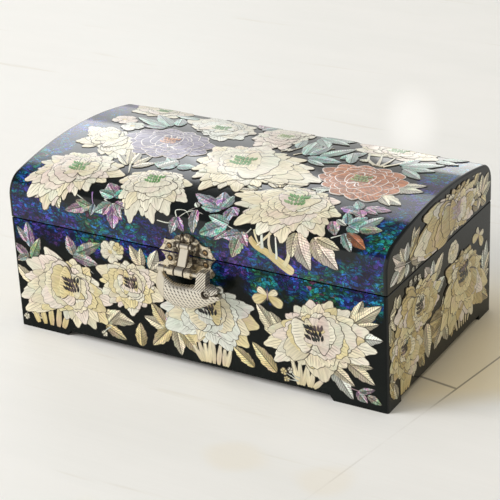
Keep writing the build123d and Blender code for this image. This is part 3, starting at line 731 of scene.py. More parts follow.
@dataclass(frozen=True)
class Spray:
    """Leaflets that fan out from one point."""

    root: Pair
    aim: float
    reach: float
    leaflets: int
    fan: float
    shells: tuple[Shell, ...]
    width: float
    teeth: float = 0.18

    def add_to(self, work: Inlay) -> None:
        """Adds the leaflets to an inlay, the middle ones longest.

        Args:
            work: the inlay.
        """
        for i in range(self.leaflets):
            off = i / (self.leaflets - 1) - 0.5
            angle = math.radians(self.aim + off * self.fan)
            length = self.reach * (1 - 0.42 * abs(off)) * work.draw.uniform(0.92, 1.08)
            cut = leaf(length, length * self.width, self.teeth, work.draw.uniform(-0.06, 0.06) * length)
            work.add(cut, self.root, angle, self.shells[i % len(self.shells)])


@dataclass(frozen=True)
class Blossom:
    """A small flat flower of lobed petals. One with a reach over large has a second ring."""

    heart: Pair
    reach: float
    shell: Shell = IVORY
    petals: int = 5
    large: float = 4.0

    def add_to(self, work: Inlay) -> None:
        """Adds the petals to an inlay, and a bead of another tone in the middle.

        Args:
            work: the inlay.
        """
        turn = work.draw.uniform(0, 6.3)
        for ring, share in enumerate((1.0, 0.62) if self.reach > self.large else (1.0,)):
            number = self.petals - ring
            for i in range(number):
                angle = turn + 2 * math.pi * (i + work.draw.uniform(-0.12, 0.12)) / number
                long = self.reach * share * work.draw.uniform(0.85, 1.1)
                work.add(petal(long, long * 0.95, Edge.LOBED, turn, size=(8, 9)), self.heart, angle, self.shell)
        bead = petal(self.reach * 0.4, self.reach * 0.4, Edge.ROUND, root=0.8, size=(5, 7))
        work.add(bead, (self.heart[0] - self.reach * 0.2, self.heart[1]), 0.0, STRAW)


@dataclass(frozen=True)
class Butterfly:
    """A butterfly with two large and two small wings and a body."""

    middle: Pair
    span: float
    aim: float = 90.0

    def add_to(self, work: Inlay) -> None:
        """Adds wings and body to an inlay.

        Args:
            work: the inlay.
        """
        for off, share, shell in ((-118, 0.62, STRAW), (118, 0.62, STRAW), (-62, 0.42, CREAM), (62, 0.42, CREAM)):
            wing = petal(self.span * share, self.span * share * 0.62, Edge.ROUND, 1.0)
            work.add(wing, self.middle, math.radians(self.aim + off), shell)
        angle = math.radians(self.aim)
        c, s = math.cos(angle), math.sin(angle)
        tail = (self.middle[0] - c * self.span * 0.2, self.middle[1] - s * self.span * 0.2)
        work.add(leaf(self.span * 0.46, self.span * 0.09, rows=9), tail, angle, MAUVE)


@dataclass(frozen=True)
class Tuft:
    """Upright blades that grow from the ground line, like grass under the blooms."""

    roots: Sequence[float]
    tips: Sequence[Pair]
    ground: float = 5.6
    width: float = 3.6
    shell: Shell = CREAM

    def add_to(self, work: Inlay) -> None:
        """Adds the blades to an inlay, from each root to its tip.

        With u from root to tip, the half width is a share of the blade's plus a sine of u raised
        to the power of 0.8, so that a blade is fullest a little below its middle.

        Args:
            work: the inlay.
        """
        u = np.linspace(0, 1, 8)[:, None]
        v = np.linspace(-1, 1, 5)[None, :]
        half = 0.5 * self.width * (0.62 + 0.38 * np.sin(math.pi * u**0.8))
        for root, tip in zip(self.roots, self.tips):
            da, db = tip[0] - root, tip[1] - self.ground
            cut = Slice(math.hypot(da, db) * u + 0 * v, half * v, half * (1 - np.abs(v)) + 0.22, u + 0 * v)
            work.add(cut, (root, self.ground), math.atan2(db, da), self.shell)


@dataclass(frozen=True)
class Leaf:
    """One leaf from its stalk to its tip."""

    stalk: Pair
    tip: Pair
    width: float
    shell: Shell = CREAM
    teeth: float = 0.16

    def add_to(self, work: Inlay) -> None:
        """Adds the leaf to an inlay.

        Args:
            work: the inlay.
        """
        da, db = self.tip[0] - self.stalk[0], self.tip[1] - self.stalk[1]
        cut = leaf(math.hypot(da, db), self.width, self.teeth)
        work.add(cut, self.stalk, math.atan2(db, da), self.shell)


@dataclass(frozen=True)
class Stem:
    """A thin strip of shell along a curved path."""

    path: Sequence[Pair]
    width: float = 0.9
    shell: Shell = WHITE
    taper: float = 0.4

    def add_to(self, work: Inlay) -> None:
        """Adds the strip to an inlay.

        Args:
            work: the inlay.
        """
        a, b, cut = ribbon(self.path, self.width, self.taper)
        work.lay(a, b, cut, self.shell)


Motif = Union[Spray, Blossom, Butterfly, Tuft, Leaf, Stem]


def leaf_rows(*rows: tuple) -> list[Leaf]:
    """Reads leaves from rows of numbers.

    Args:
        rows: stalk, tip and width of each leaf, then its shell and teeth where these aren't usual.

    Returns:
        The leaves, in the order of the rows.
    """
    return [Leaf((a, b), (c, d), *rest) for a, b, c, d, *rest in rows]


@dataclass
class Garden:
    """All the inlay of one face: leaves and other greenery below, blooms over it."""

    name: str
    chart: Chart
    leaves: Sequence[Motif]
    others: Sequence[Motif]
    blooms: Sequence[Peony]
    seed: int

    def plant(self, finishes: "Finishes") -> None:
        """Lays the whole face, each kind of motif in its own finish.

        Args:
            finishes: the materials.
        """
        leaves = Inlay(self.chart, base=0.12, step=0.004, seed=self.seed)
        others = Inlay(self.chart, base=0.10, step=0.006, seed=self.seed + 50)
        for motifs, work in ((self.leaves, leaves), (self.others, others)):
            for motif in motifs:
                motif.add_to(work)
        leaves.make(f"{self.name}_leaves", finishes.abalone)
        others.make(f"{self.name}_stems", finishes.pearl)
        for number, bloom in enumerate(self.blooms, 1):
            finish = finishes.dyed if bloom.dyed else finishes.pearl
            bloom.inlay(self.chart, f"{self.name}_bloom_{number}", finish, self.seed + number)


def front_garden(chart: Chart) -> Garden:
    """Lays out the body's front: four large blooms, with leaves above and grass below.

    Args:
        chart: chart of the face.

    Returns:
        The garden.
    """
    blooms = (
        Peony((-87, 37), ((-106, 60), (-122, 47), (-124, 36), (-129, 20), (-126, 11), (-108, 15), (-95, 11), (-86, 7),
              (-72, 9), (-62, 15), (-57, 30), (-66, 42), (-73, 52), (-84, 56), (-96, 54)), FOUR_CREAMS, layer=0.2),
        Peony((-42, 48), ((-45, 63), (-54, 60), (-68, 54), (-66, 45), (-66, 36), (-60, 31), (-53, 29), (-43, 25),
              (-33, 33), (-19, 41), (-25, 48), (-21, 58), (-32, 62)), FOUR_CREAMS, layer=0.45),
        Peony((12, 43), ((22, 59), (32, 55), (44, 50), (47, 37), (39, 22), (26, 16), (8, 18), (-3, 14), (-20, 23),
              (-23, 37), (-14, 42), (-4, 54)), (WHITE, CREAM, STRAW, WHITE)),
        Peony((84, 42), ((71, 58), (82, 64), (95, 66), (107, 62), (119, 52), (124, 39), (119, 30), (104, 24),
              (90, 11), (72, 19), (56, 17), (49, 27), (52, 38), (64, 50)), FOUR_CREAMS, layer=0.2),
    )
    leaves = leaf_rows(
        (-117, 57, -118, 75, 9, LILAC), (-119, 60, -126, 70, 6, ROSE), (-117, 49, -109, 65, 8, MOSS),
        (-119, 49, -129.5, 58, 8, MAUVE), (-120, 51, -129, 46, 6, MAUVE), (-118, 32, -129.5, 43, 9),
        (-84, 58, -88, 71, 9, ROSE), (-82, 60, -63, 70, 9, MOSS), (-85, 58, -66, 55, 9, MAUVE),
        (-34, 60, -42, 73.5, 9), (-34, 60, -34, 73, 7), (-28, 60, -22, 74, 9, IVORY), (-27, 59, -12, 68, 8, IVORY),
        (62, 31, 45, 54, 13, CREAM, 0.25), (64, 36, 54, 50, 9), (57, 10, 41, 27, 11, STRAW, 0.22),
        (42, 10, 27, 22, 9, STRAW, 0.22), (108, 52, 115, 70, 9), (104, 50, 127, 69, 12, CREAM, 0.2),
        (107, 50, 125, 57, 7), (106, 45, 127.5, 47, 10, WHITE), (104, 28, 122, 17, 10, CREAM, 0.2),
        (106, 27, 121, 28, 6), (92, 27, 108, 3.5, 12, WHITE, 0.22), (90, 26, 109, 13, 9, CREAM),
        (85, 24, 88, 10, 9, WHITE), (111, 10, 122, 14, 5, MAUVE), (110, 10, 117, 3.5, 7, MAUVE),
        (117, 9, 126, 5, 6, MOSS), (-112, 8, -123, 12, 4, CREAM), (-64, 14, -49, 7, 9, STRAW, 0.22),
        (-66, 22, -42, 20, 12, CREAM, 0.22), (-62, 16, -52, 27, 9), (-38, 5.5, -38, 22, 10, STRAW, 0.2),
        (-18, 22, -35, 27, 9), (-18, 22, -29, 38, 11, STRAW, 0.22), (-16, 22, -16, 37, 9, MAUVE),
        (-16, 23, -30, 8, 11, STRAW, 0.22), (-12, 24, -9, 5.5, 11, CREAM, 0.25), (-10, 24, 4, 9, 10, STRAW),
    )
    others = (
        Stem(((-84, 59), (-78, 54), (-70, 48))), Blossom((-56, 66), 8.5),
        Blossom((-50, 69), 4.5, STRAW), Stem(((104, 12), (111, 11), (119, 13)), 0.7, MAUVE),
        Butterfly((53, 60), 19),
        Tuft((-116, -111, -106, -101, -97), ((-119, 13), (-113, 17), (-106, 19), (-99, 19), (-93, 15)), 4.6, 4.4,
            STRAW),
        Stem(((-119, 18), (-123, 13), (-126, 8))), Blossom((-125.5, 7), 2.6),
        Stem(((-60, 14), (-64, 11), (-66, 8))), Blossom((-65.5, 8), 2.4),
        Tuft((6, 7.5, 9, 11, 14, 17, 21, 23), ((0, 15), (4, 18), (8, 18), (12, 21), (14, 20), (19, 19), (22, 17),
            (26, 17))),
        Tuft((72, 73.5, 75, 79, 80, 82), ((68, 21), (73, 20), (79, 22), (78, 18), (82, 16), (88, 12))),
        Stem(((71, 8), (67, 10), (62, 12))), Blossom((62, 12), 2.6, STRAW), Blossom((66.5, 14), 2.2),
        Blossom((64, 7.5), 2.4, STRAW), Stem(((73, 10), (69, 11), (66.5, 14))),
        Stem(((72, 8), (68, 7.6), (64, 7.5))),
    )
    return Garden("front", chart, leaves, others, blooms, 11)


def lid_garden(chart: Chart) -> Garden:
    """Lays out the lid: rows of blooms from the lower front edge back over the crown.

    Args:
        chart: chart of the face.

    Returns:
        The garden.
    """
    blooms = (
        Peony((-92, 46), ((-117, 53), (-120, 44), (-117, 36), (-120, 25), (-116, 16), (-103, 9), (-96, 13), (-88, 18),
              (-80, 22), (-73, 26), (-66, 36), (-58, 46), (-65, 57), (-77, 63), (-92, 65), (-107, 60)), anthers=GREEN,
              layer=0.15),
        Peony((-38, 48), ((-59, 40), (-56, 51), (-48, 57), (-37, 60), (-24, 59), (-12, 50), (-13, 42), (-6, 33),
              (-13, 22), (-23, 15), (-31, 18), (-40, 12), (-46, 20), (-51, 26)), (IVORY, CREAM, IVORY), anthers=GREEN),
        Peony((2, 86), ((-27, 79), (-23, 66), (-17, 57), (-6, 46), (5, 51), (17, 51), (28, 61), (40, 68), (54, 72),
              (60, 80), (47, 95), (37, 104), (20, 109), (4, 116), (-14, 108), (-27, 99)), (IVORY, CREAM),
              anthers=GREEN, layer=0.3),
        Peony((57, 54), ((17, 49), (22, 40), (31, 34), (30, 24), (46, 21), (64, 19), (78, 25), (88, 28), (86, 38),
              (89, 48), (82, 61), (71, 67), (57, 69), (42, 67), (31, 58)), anthers=GREEN, layer=0.1),
        Peony((80, 91), ((51, 98), (53, 86), (61, 76), (72, 68), (86, 66), (99, 68), (108, 82), (109, 96), (101, 108),
              (88, 113), (72, 113), (58, 108)), (CORAL,), anthers=MOSS, outer=Edge.ROUND, layer=0.3, dyed=True,
              inner=DYED_RINGS),
        Peony((-57, 96), ((-90, 94), (-84, 80), (-70, 73), (-55, 72), (-38, 76), (-26, 87), (-25, 99), (-36, 110),
              (-52, 117), (-70, 116), (-84, 107)), (VIOLET,), anthers=PEACH, outer=Edge.ROUND, layer=0.15, dyed=True,
              inner=DYED_RINGS),
        Peony((-94, 84), ((-119, 97), (-113, 86), (-114, 74), (-106, 69), (-96, 72), (-87, 64), (-75, 63), (-66, 69),
              (-70, 82), (-80, 94), (-92, 100), (-106, 103)), (IVORY, CREAM), anthers=IVORY),
        Peony((-42, 134), ((-74, 148), (-62, 130), (-44, 116), (-28, 111), (-18, 120), (-17, 136), (-26, 152),
              (-45, 160), (-62, 160)), (IVORY, WHITE), anthers=GREEN),
        Peony((2, 140), ((-17, 152), (-17, 138), (-14, 124), (-6, 112), (4, 108), (13, 114), (15, 128), (17, 142),
              (15, 156), (6, 168), (-8, 168)), (IVORY, BLUSH), anthers=MOSS, layer=0.15),
        Peony((75, 152), ((46, 156), (50, 140), (63, 133), (78, 135), (92, 134), (104, 148), (99, 166), (78, 176),
              (56, 172)), anthers=GREEN),
        Peony((-97, 152), ((-120, 158), (-114, 138), (-98, 134), (-80, 140), (-76, 156), (-84, 172), (-106, 174)),
              anthers=GREEN),
    )
    spray = Spray((-100, 26), -118, 17, 2, 40, (BLUSH, CREAM), 0.5)
    leaves = leaf_rows(
        (-102, 26, -102, 9, 12, STRAW, 0.25), (-96, 25, -92, 12, 9, CREAM, 0.2), (-68, 19, -88, 12, 8, MAUVE),
        (-70, 18, -80, 20, 6, MOSS), (-66, 20, -69, 12, 5, TEAL), (-54, 28, -64, 37, 11, ROSE, 0.2),
        (-54, 27, -66, 29, 8, SEA), (-53, 26, -50, 34, 7, TEAL), (-54, 22, -66, 15, 8, SEA),
        (-55, 22, -60, 14, 6, ROSE), (-52, 22, -53, 6, 11, LILAC, 0.2), (-52, 22, -46, 13, 7, ROSE),
        (-52, 23, -44, 21, 6, MAUVE), (-8, 22, -12, 11, 7, ROSE, 0.2), (-8, 22, -2, 14, 6, LILAC, 0.2),
        (3, 29, 4, 14, 8, ROSE, 0.2), (3, 31, -1, 35, 4, WHITE), (18, 33, -6, 43, 12, LILAC, 0.22),
        (18, 33, 10, 50, 12, LILAC, 0.2), (18, 34, 18, 48, 8, SEA), (18, 33, 4, 32, 8, TEAL),
        (22, 36, 30, 30, 9, LILAC, 0.2), (24, 36, 24, 22, 8, LILAC), (26, 24, 8, 15, 12, TEAL, 0.22),
        (27, 24, 12, 27, 8, SEA), (27, 20, 18, 13, 4, ROSE), (36, 20, 24, 16, 8, LILAC),
        (36, 20, 30, 4, 11, MOSS, 0.22), (36, 21, 41, 13, 8, ROSE), (70, 27, 70, 12, 9, CREAM, 0.12),
        (71, 27, 82, 6, 14, BLUSH, 0.2), (82, 26, 90, 12, 9, CREAM, 0.12), (82, 26, 100, 10, 14, BLUSH, 0.2),
        (83, 26, 100, 22, 7), (86, 42, 94, 30, 8, ROSE, 0.1), (88, 44, 96, 40, 5, WHITE), (96, 42, 90, 53, 7, TEAL),
        (97, 41, 104, 52, 11, TEAL, 0.2), (97, 40, 106, 36, 8, TEAL), (104, 40, 113, 55, 10, SEA, 0.2),
        (105, 39, 118, 42, 10, MOSS, 0.2), (98, 33, 107, 22, 8, SEA, 0.2), (99, 34, 115, 25, 8, CORAL, 0.1),
        (96, 56, 84, 56, 10, LILAC, 0.2), (96, 58, 90, 66, 8, SEA), (96, 57, 101, 50, 9, ROSE, 0.2),
        (98, 60, 114, 62, 9, MAUVE, 0.2), (98, 60, 108, 56, 6, ROSE), (97, 77, 116, 70, 12, IVORY, 0.2),
        (98, 78, 110, 67, 8, IVORY), (100, 88, 121, 90, 12, IVORY, 0.2), (100, 90, 119, 99, 10, IVORY, 0.2),
        (66, 74, 62, 65, 6, WHITE), (70, 74, 57, 70, 6, WHITE), (38, 64, 26, 73, 6, IVORY),
        (40, 65, 36, 77, 6, CREAM), (42, 65, 54, 77, 8, IVORY, 0.2), (44, 63, 62, 68, 8, CREAM, 0.2),
        (28, 58, 17, 63, 5, IVORY), (27, 56, 14, 55, 5.5, CREAM), (-64, 58, -80, 71, 6.5, IVORY),
        (-64, 59, -73, 76, 6, CREAM), (-62, 60, -65, 76, 6, IVORY), (-60, 59, -55, 73, 6, CREAM),
        (-60, 57, -48, 66, 6.5, IVORY), (-34, 66, -50, 66, 12, SEA, 0.2), (-34, 66, -46, 76, 9, SEA),
        (-33, 66, -22, 70, 9, SEA), (-44, 62, -36, 74, 8, WHITE), (-73, 118, -102, 128, 10, AQUA, 0.12),
        (-72, 121, -94, 141, 11, AQUA, 0.12), (-73, 116, -90, 114, 7, SEA, 0.1), (-68, 124, -76, 142, 9, SEA, 0.12),
        (31, 112, 24, 146, 12, AQUA, 0.12), (34, 113, 36, 138, 9, SEA, 0.12), (20, 122, 13, 147, 8, AQUA, 0.1),
        (34, 110, 57, 110, 12, TEAL, 0.12), (40, 114, 52, 140, 10, AQUA, 0.12), (28, 144, 42, 160, 10, AQUA, 0.1),
        (53, 116, 61, 137, 9, SEA, 0.1), (36, 106, 50, 101, 6, AQUA, 0.1), (92, 120, 113, 123, 11, AQUA, 0.12),
        (91, 122, 113, 138, 12, AQUA, 0.12), (90, 123, 95, 141, 9, SEA, 0.12), (95, 117, 111, 106, 9, AQUA, 0.12),
        (62, 112, 54, 132, 9, AQUA, 0.2), (22, 150, 36, 132, 11, AQUA, 0.2), (20, 154, 44, 146, 12, AQUA, 0.2),
        (22, 158, 42, 164, 12, SEA, 0.2), (-20, 150, -28, 168, 11, ROSE, 0.2), (-18, 146, -14, 166, 10, SEA, 0.2),
        (-66, 146, -84, 146, 10, AQUA, 0.2), (-50, 164, -62, 176, 11, LILAC, 0.2),
        (106, 150, 119, 160, 10, AQUA, 0.2), (104, 144, 119, 144, 10, AQUA, 0.2), (36, 166, 46, 178, 11, ROSE, 0.2),
        (18, 172, 32, 182, 11, AQUA, 0.2), (-30, 172, -18, 184, 11, AQUA, 0.2), (-66, 180, -54, 190, 10, MAUVE, 0.2),
        (60, 182, 46, 192, 10, LILAC, 0.2),
    )
    others = (
        Stem(((-84, 25), (-76, 22), (-66, 18), (-58, 20))), Stem(((-70, 27), (-68, 22), (-66, 18)), 1.0, LILAC),
        Stem(((-60, 24), (-54, 22), (-46, 24)), 1.1), Stem(((-21, 18), (-12, 18), (-6, 23), (2, 31))),
        Stem(((-8, 22), (-10, 26), (-4, 27), (0, 24))), Stem(((-3, 26), (2, 28), (8, 27))),
        Stem(((42, 24), (38, 20), (30, 22), (24, 24)), 1.0), Stem(((56, 25), (51, 19), (47, 15)), 2.0, CREAM),
        Stem(((42, 19), (47, 14.5), (54, 12), (60, 8.5), (67, 4.5), (71, 2.5)), 3.4, STRAW, 2.1),
        Stem(((44, 24), (46, 20), (50, 14)), 1.8, CREAM), Stem(((57, 11), (55, 18), (54, 26)), 2.6, CREAM),
        Stem(((65, 6), (68, 13), (66, 24)), 3.2, CREAM), Stem(((60, 9), (60, 16), (58, 24)), 1.8),
        Stem(((51, 14), (50, 20), (48, 26)), 2.4), Stem(((92, 28), (98, 32), (104, 37)), 1.0),
        Stem(((18, 66), (24, 62), (30, 60)), 2.6), Stem(((28, 54), (34, 60), (42, 65)), 1.6, IVORY),
        Blossom((23, 55), 3.0), Blossom((31, 71), 2.6),
        Stem(((-66, 66), (-62, 58), (-58, 50)), 2.0, IVORY), Blossom((-106, 119), 9, BLUSH),
        Blossom((-94, 110), 9, WHITE), Stem(((14, 112), (20, 120), (22, 134)), 1.6, IVORY),
        Stem(((24, 110), (32, 122), (40, 134)), 1.4, IVORY), Blossom((17, 116), 3.0),
        Stem(((76, 116), (68, 124), (63, 137)), 2.6, IVORY), Stem(((78, 116), (75, 126), (71, 137)), 2.6, IVORY),
        Stem(((80, 116), (81, 126), (80, 137)), 2.4, IVORY), Stem(((82, 116), (88, 126), (90, 136)), 2.4, IVORY),
        Blossom((67, 121), 3.2),
    )
    return Garden("lid", chart, [spray, *leaves], others, blooms, 41)


def end_garden(name: str, chart: Chart, seed: int) -> Garden:
    """Lays out an end of the body: three blooms with leaves, a small flower and a butterfly.

    Args:
        name: start of the pieces' names.
        chart: chart of the face.
        seed: seed of its draws.

    Returns:
        The garden.
    """
    blooms = (
        Peony((-33, 51), ((-50, 70), (-42, 66), (-30, 68), (-18, 66), (-8, 62), (-2, 54), (-4, 44), (-16, 37),
              (-30, 34), (-48, 36), (-65, 46), (-66, 57)), WARM_CREAMS, layer=0.3, inner=END_RINGS),
        Peony((-53, 33), ((-72, 40), (-72, 27), (-66, 18), (-52, 12), (-36, 11), (-24, 18), (-26, 32), (-36, 42),
              (-62, 48)), WARM_CREAMS, layer=0.1, inner=END_RINGS),
        Peony((29, 45), ((4, 57), (6, 44), (17, 58), (28, 61), (41, 59), (50, 51), (58, 44), (60, 33), (67, 21),
              (60, 11), (44, 10), (28, 12), (10, 11), (-3, 20), (-2, 34)), WARM_CREAMS, layer=0.2, inner=END_RINGS),
    )
    leaves = leaf_rows(
        (-16, 60, -24, 72, 10, BLUSH, 0.2), (-14, 58, -12, 72, 9, WHITE), (-12, 58, 2, 71, 11, CREAM, 0.2),
        (-10, 50, 4, 54, 10, WHITE, 0.2), (-30, 32, -30, 9, 14, GILT, 0.2), (-22, 34, -19, 10, 14, CREAM, 0.2),
        (-12, 36, -8, 11, 13, GILT, 0.2), (-46, 38, -46, 9, 12, CREAM, 0.2), (-64, 40, -71.5, 54, 9, STRAW, 0.15),
        (-62, 26, -71, 13, 9, CREAM, 0.15), (-62, 50, -69, 63, 8, CREAM), (14, 30, 14, 8, 11, GILT, 0.2),
        (56, 26, 70, 30, 9, CREAM, 0.15), (54, 22, 69, 10, 10, GILT, 0.2), (6, 28, -18, 33, 15, GILT, 0.2),
        (6, 26, -16, 22, 13, GILT, 0.2), (4, 26, -12, 12, 12, CREAM, 0.2), (4, 26, 2, 42, 11), (2, 24, 8, 9.5, 11),
        (6, 26, 20, 11, 12, GILT, 0.2), (62, 28, 66, 52, 9, WHITE, 0.15), (62, 30, 71, 42, 7, CREAM),
        (62, 32, 60, 48, 7, WHITE), (-66, 58, -71, 56, 4), (-60, 62, -57, 70, 8), (-62, 63, -70, 62, 6),
        (-64, 62, -62, 71, 5), (-63, 6, -71, 20, 9, GILT, 0.2), (-61, 4.5, -66, 17, 7), (-70, 44, -71, 58, 5),
        (-66, 30, -72, 24, 6), (-40, 24, -40, 8, 11, CREAM, 0.2), (-34, 24, -25, 8, 10, GILT, 0.2),
    )
    others = (
        Blossom((15.5, 65), 8, CREAM, 7), Butterfly((54, 60), 17, 60),
        Tuft((-56, -55, -53, -50, -47), ((-55, 28), (-50, 28), (-45, 26), (-44, 20), (-40, 20)), 4.5, 3.6, STRAW),
        Tuft((22, 25, 28, 31, 34, 37), ((18, 20), (24, 22), (28, 22), (32, 22), (36, 22), (41, 20)), 9.0, 2.4),
        Blossom((-43, 70.5), 2.4), Blossom((-37, 71), 2.2), Blossom((-32, 69.5), 2.4),
    )
    return Garden(name, chart, leaves, others, blooms, seed)


def gable_garden(name: str, chart: Chart, seed: int) -> Garden:
    """Lays out an end of the lid: one broad bloom with leaves before and behind it.

    Args:
        name: start of the pieces' names.
        chart: chart of the face.
        seed: seed of its draws.

    Returns:
        The garden.
    """
    blooms = (
        Peony((18, 91), ((-40, 87), (-35, 93), (-27, 104), (-20, 101), (-12, 104), (-4, 106), (5, 106), (14, 107),
              (24, 106), (32, 106), (38, 104), (46, 100), (49, 93), (46, 86), (44, 79), (34, 77.5), (22, 77.5),
              (11, 77.5), (0, 77.5), (-8, 80), (-16, 77.5), (-26, 79), (-35, 82)), WARM_CREAMS, MAUVE, layer=0.2,
              inner=END_RINGS),
    )
    leaves = leaf_rows(
        (-50, 86, -66, 97, 9, BLUSH, 0.15), (-50, 86, -56, 98, 9, CREAM, 0.15), (-49, 87, -46, 98, 9, WHITE, 0.15),
        (-50, 85, -64, 89, 8, BLUSH), (-58, 85, -70, 80, 8, WHITE), (-50, 84, -61, 78, 8, CREAM),
        (-46, 84, -50, 77, 7, WHITE), (-44, 88, -30, 101, 9, GILT, 0.15), (-44, 86, -24, 92, 9, STRAW, 0.15),
        (-42, 84, -24, 79, 8, CREAM, 0.15), (46, 96, 54, 104, 7, STRAW), (44, 84, 54, 78, 8, GILT),
        (46, 88, 58, 90, 8, STRAW), (-40, 95, -37, 104, 5), (-38, 97, -31, 100, 4), (-40, 97, -42, 92, 4),
        (56, 86, 50, 97, 9), (57, 87, 58, 99, 9, CREAM, 0.2), (58, 86, 68, 97, 9), (58, 85, 71, 89, 9),
        (56, 84, 64, 77.5, 9, STRAW), (54, 85, 51, 78, 7),
    )
    others = (
        Stem(((-66, 85), (-54, 86), (-42, 84))), Blossom((-16, 104.5), 2.2),
        Blossom((45, 103.5), 2.0), Blossom((55, 101.5), 2.0), Blossom((-40, 78), 1.8),
        Blossom((-35, 77.5), 1.6),
    )
    return Garden(name, chart, leaves, others, blooms, seed)


class Bench:
    """A hand for placing and joining nodes in one node tree."""

    def __init__(self, tree: bpy.types.NodeTree) -> None:
        """Takes the tree to work in."""
        self.tree = tree

    def feed(self, socket: Socket, value: Feed) -> None:
        """Links a socket to another, or sets its own value.

        Args:
            socket: the input.
            value: an output to link, or a number, vector or colour. A colour may leave out its alpha.
        """
        if isinstance(value, bpy.types.NodeSocket):
            self.tree.links.new(value, socket)
        elif isinstance(value, (int, float)) or len(value) != 3 or socket.type != "RGBA":
            socket.default_value = value
        else:
            socket.default_value = (*value, 1.0)

    def fill(self, node: bpy.types.Node, inputs: Inputs) -> None:
        """Feeds several inputs of a node, by name or number."""
        for key, value in inputs.items():
            self.feed(node.inputs[key], value)

    def add(self, kind: str, inputs: Inputs | None = None, **settings: object) -> bpy.types.Node:
        """Adds a node.

        Args:
            kind: class name of the node without its ShaderNode start.
            inputs: values or links for its inputs, by name or number.
            settings: its own settings.

        Returns:
            The node.
        """
        node = self.tree.nodes.new("ShaderNode" + kind)
        for key, value in settings.items():
            setattr(node, key, value)
        self.fill(node, inputs or {})
        return node

    def math(self, operation: str, a: Feed, b: Feed = 0.0) -> Socket:
        """Adds a Math node and returns its result."""
        return self.add("Math", {0: a, 1: b}, operation=operation).outputs[0]

    def times(self, a: Feed, b: Feed) -> Socket:
        """Multiplies two numbers."""
        return self.math("MULTIPLY", a, b)

    def plus(self, a: Feed, b: Feed) -> Socket:
        """Adds two numbers."""
        return self.math("ADD", a, b)

    def minus(self, a: Feed, b: Feed) -> Socket:
        """Takes the second number from the first."""
        return self.math("SUBTRACT", a, b)

    def over(self, a: Feed, b: Feed) -> Socket:
        """Divides the first number by the second."""
        return self.math("DIVIDE", a, b)

    def larger(self, a: Feed, b: Feed) -> Socket:
        """Gives the larger of two numbers."""
        return self.math("MAXIMUM", a, b)

    def size(self, a: Feed) -> Socket:
        """Gives a number without its sign."""
        return self.math("ABSOLUTE", a)

    def off_middle(self, a: Feed) -> Socket:
        """Gives how far a number is from the middle between two whole numbers, from 0 to a half."""
        return self.size(self.minus(self.math("FRACT", a), 0.5))

    def ease(self, value: Feed, low: Feed, high: Feed, start: float = 0.0, end: float = 1.0) -> Socket:
        """Runs smoothly from start to end while the value goes from low to high."""
        inputs = {"Value": value, "From Min": low, "From Max": high, "To Min": start, "To Max": end}
        return self.add("MapRange", inputs, interpolation_type="SMOOTHSTEP").outputs[0]

    def mix(self, share: Feed, a: Feed, b: Feed, blend: str = "MIX") -> Socket:
        """Mixes two colours: a where the share is 0, b where it is 1."""
        return self.add("Mix", {0: share, 6: a, 7: b}, data_type="RGBA", blend_type=blend).outputs[2]

    def mix_value(self, share: Feed, a: Feed, b: Feed) -> Socket:
        """Mixes two numbers: a where the share is 0, b where it is 1."""
        return self.plus(a, self.times(share, self.minus(b, a)))

    def shade(self, colour: Feed, light: Feed) -> Socket:
        """Multiplies a colour by a number."""
        grey = self.add("CombineColor", {0: light, 1: light, 2: light}).outputs[0]
        return self.mix(1.0, colour, grey, "MULTIPLY")

    def ramp(self, value: Feed, stops: Stops) -> Socket:
        """Turns a number into a colour, which changes evenly from each stop to the next.

        Args:
            value: where on the ramp, from 0 to 1.
            stops: positions and colours.

        Returns:
            The colour.
        """
        node = self.add("ValToRGB", {0: value})
        points = node.color_ramp.elements
        while len(points) < len(stops):
            points.new(0.5)
        for point, (position, colour) in zip(points, stops):
            point.position, point.color = position, (*colour, 1.0)
        return node.outputs[0]

    def noise(self, vector: Feed, scale: Feed, detail: float = 2.0, rough: float = 0.5) -> Socket:
        """Adds noise and returns its value."""
        inputs = {"Vector": vector, "Scale": scale, "Detail": detail, "Roughness": rough}
        return self.add("TexNoise", inputs).outputs[0]

    def mark(self, name: str, output: str = "Fac") -> Socket:
        """Reads an attribute of the mesh."""
        return self.add("Attribute", attribute_name=name).outputs[output]

    def place(self) -> Socket:
        """Reads the position on the piece, in metres of the shared frame."""
        return self.add("TexCoord").outputs["Object"]

    def split(self, vector: Feed) -> list[Socket]:
        """Takes a vector apart into x, y and z."""
        return list(self.add("SeparateXYZ", {0: vector}).outputs)

    def vector(self, x: Feed, y: Feed, z: Feed) -> Socket:
        """Joins three numbers to a vector."""
        return self.add("CombineXYZ", {0: x, 1: y, 2: z}).outputs[0]

    def length(self, vector: Feed) -> Socket:
        """Measures a vector."""
        return self.add("VectorMath", {0: vector}, operation="LENGTH").outputs["Value"]

    def move(self, vector: Feed, by: Feed, operation: str = "ADD") -> Socket:
        """Adds a vector to a position, or takes it away."""
        return self.add("VectorMath", {0: vector, 1: by}, operation=operation).outputs[0]

    def stretch(self, vector: Feed, scale: Point, turn: Point = (0.0, 0.0, 0.0)) -> Socket:
        """Turns and scales a position."""
        return self.add("Mapping", {"Vector": vector, "Rotation": turn, "Scale": scale}).outputs[0]

    def turn(self, vector: Feed, angle: float, centre: Point = (0.0, 0.0, 0.0)) -> Socket:
        """Turns a position about an upright axis, by an angle in radians."""
        inputs = {"Vector": vector, "Center": centre, "Angle": angle}
        return self.add("VectorRotate", inputs, rotation_type="Z_AXIS").outputs[0]

    def bend(self, where: Feed, scale: float, amount: float) -> Socket:
        """Bends space: adds the colour of noise, times an amount, to a position."""
        push = self.add("TexNoise", {"Vector": where, "Scale": scale, "Detail": 1.0}).outputs["Color"]
        return self.move(where, self.add("VectorMath", {0: push, "Scale": amount}, operation="SCALE").outputs[0])

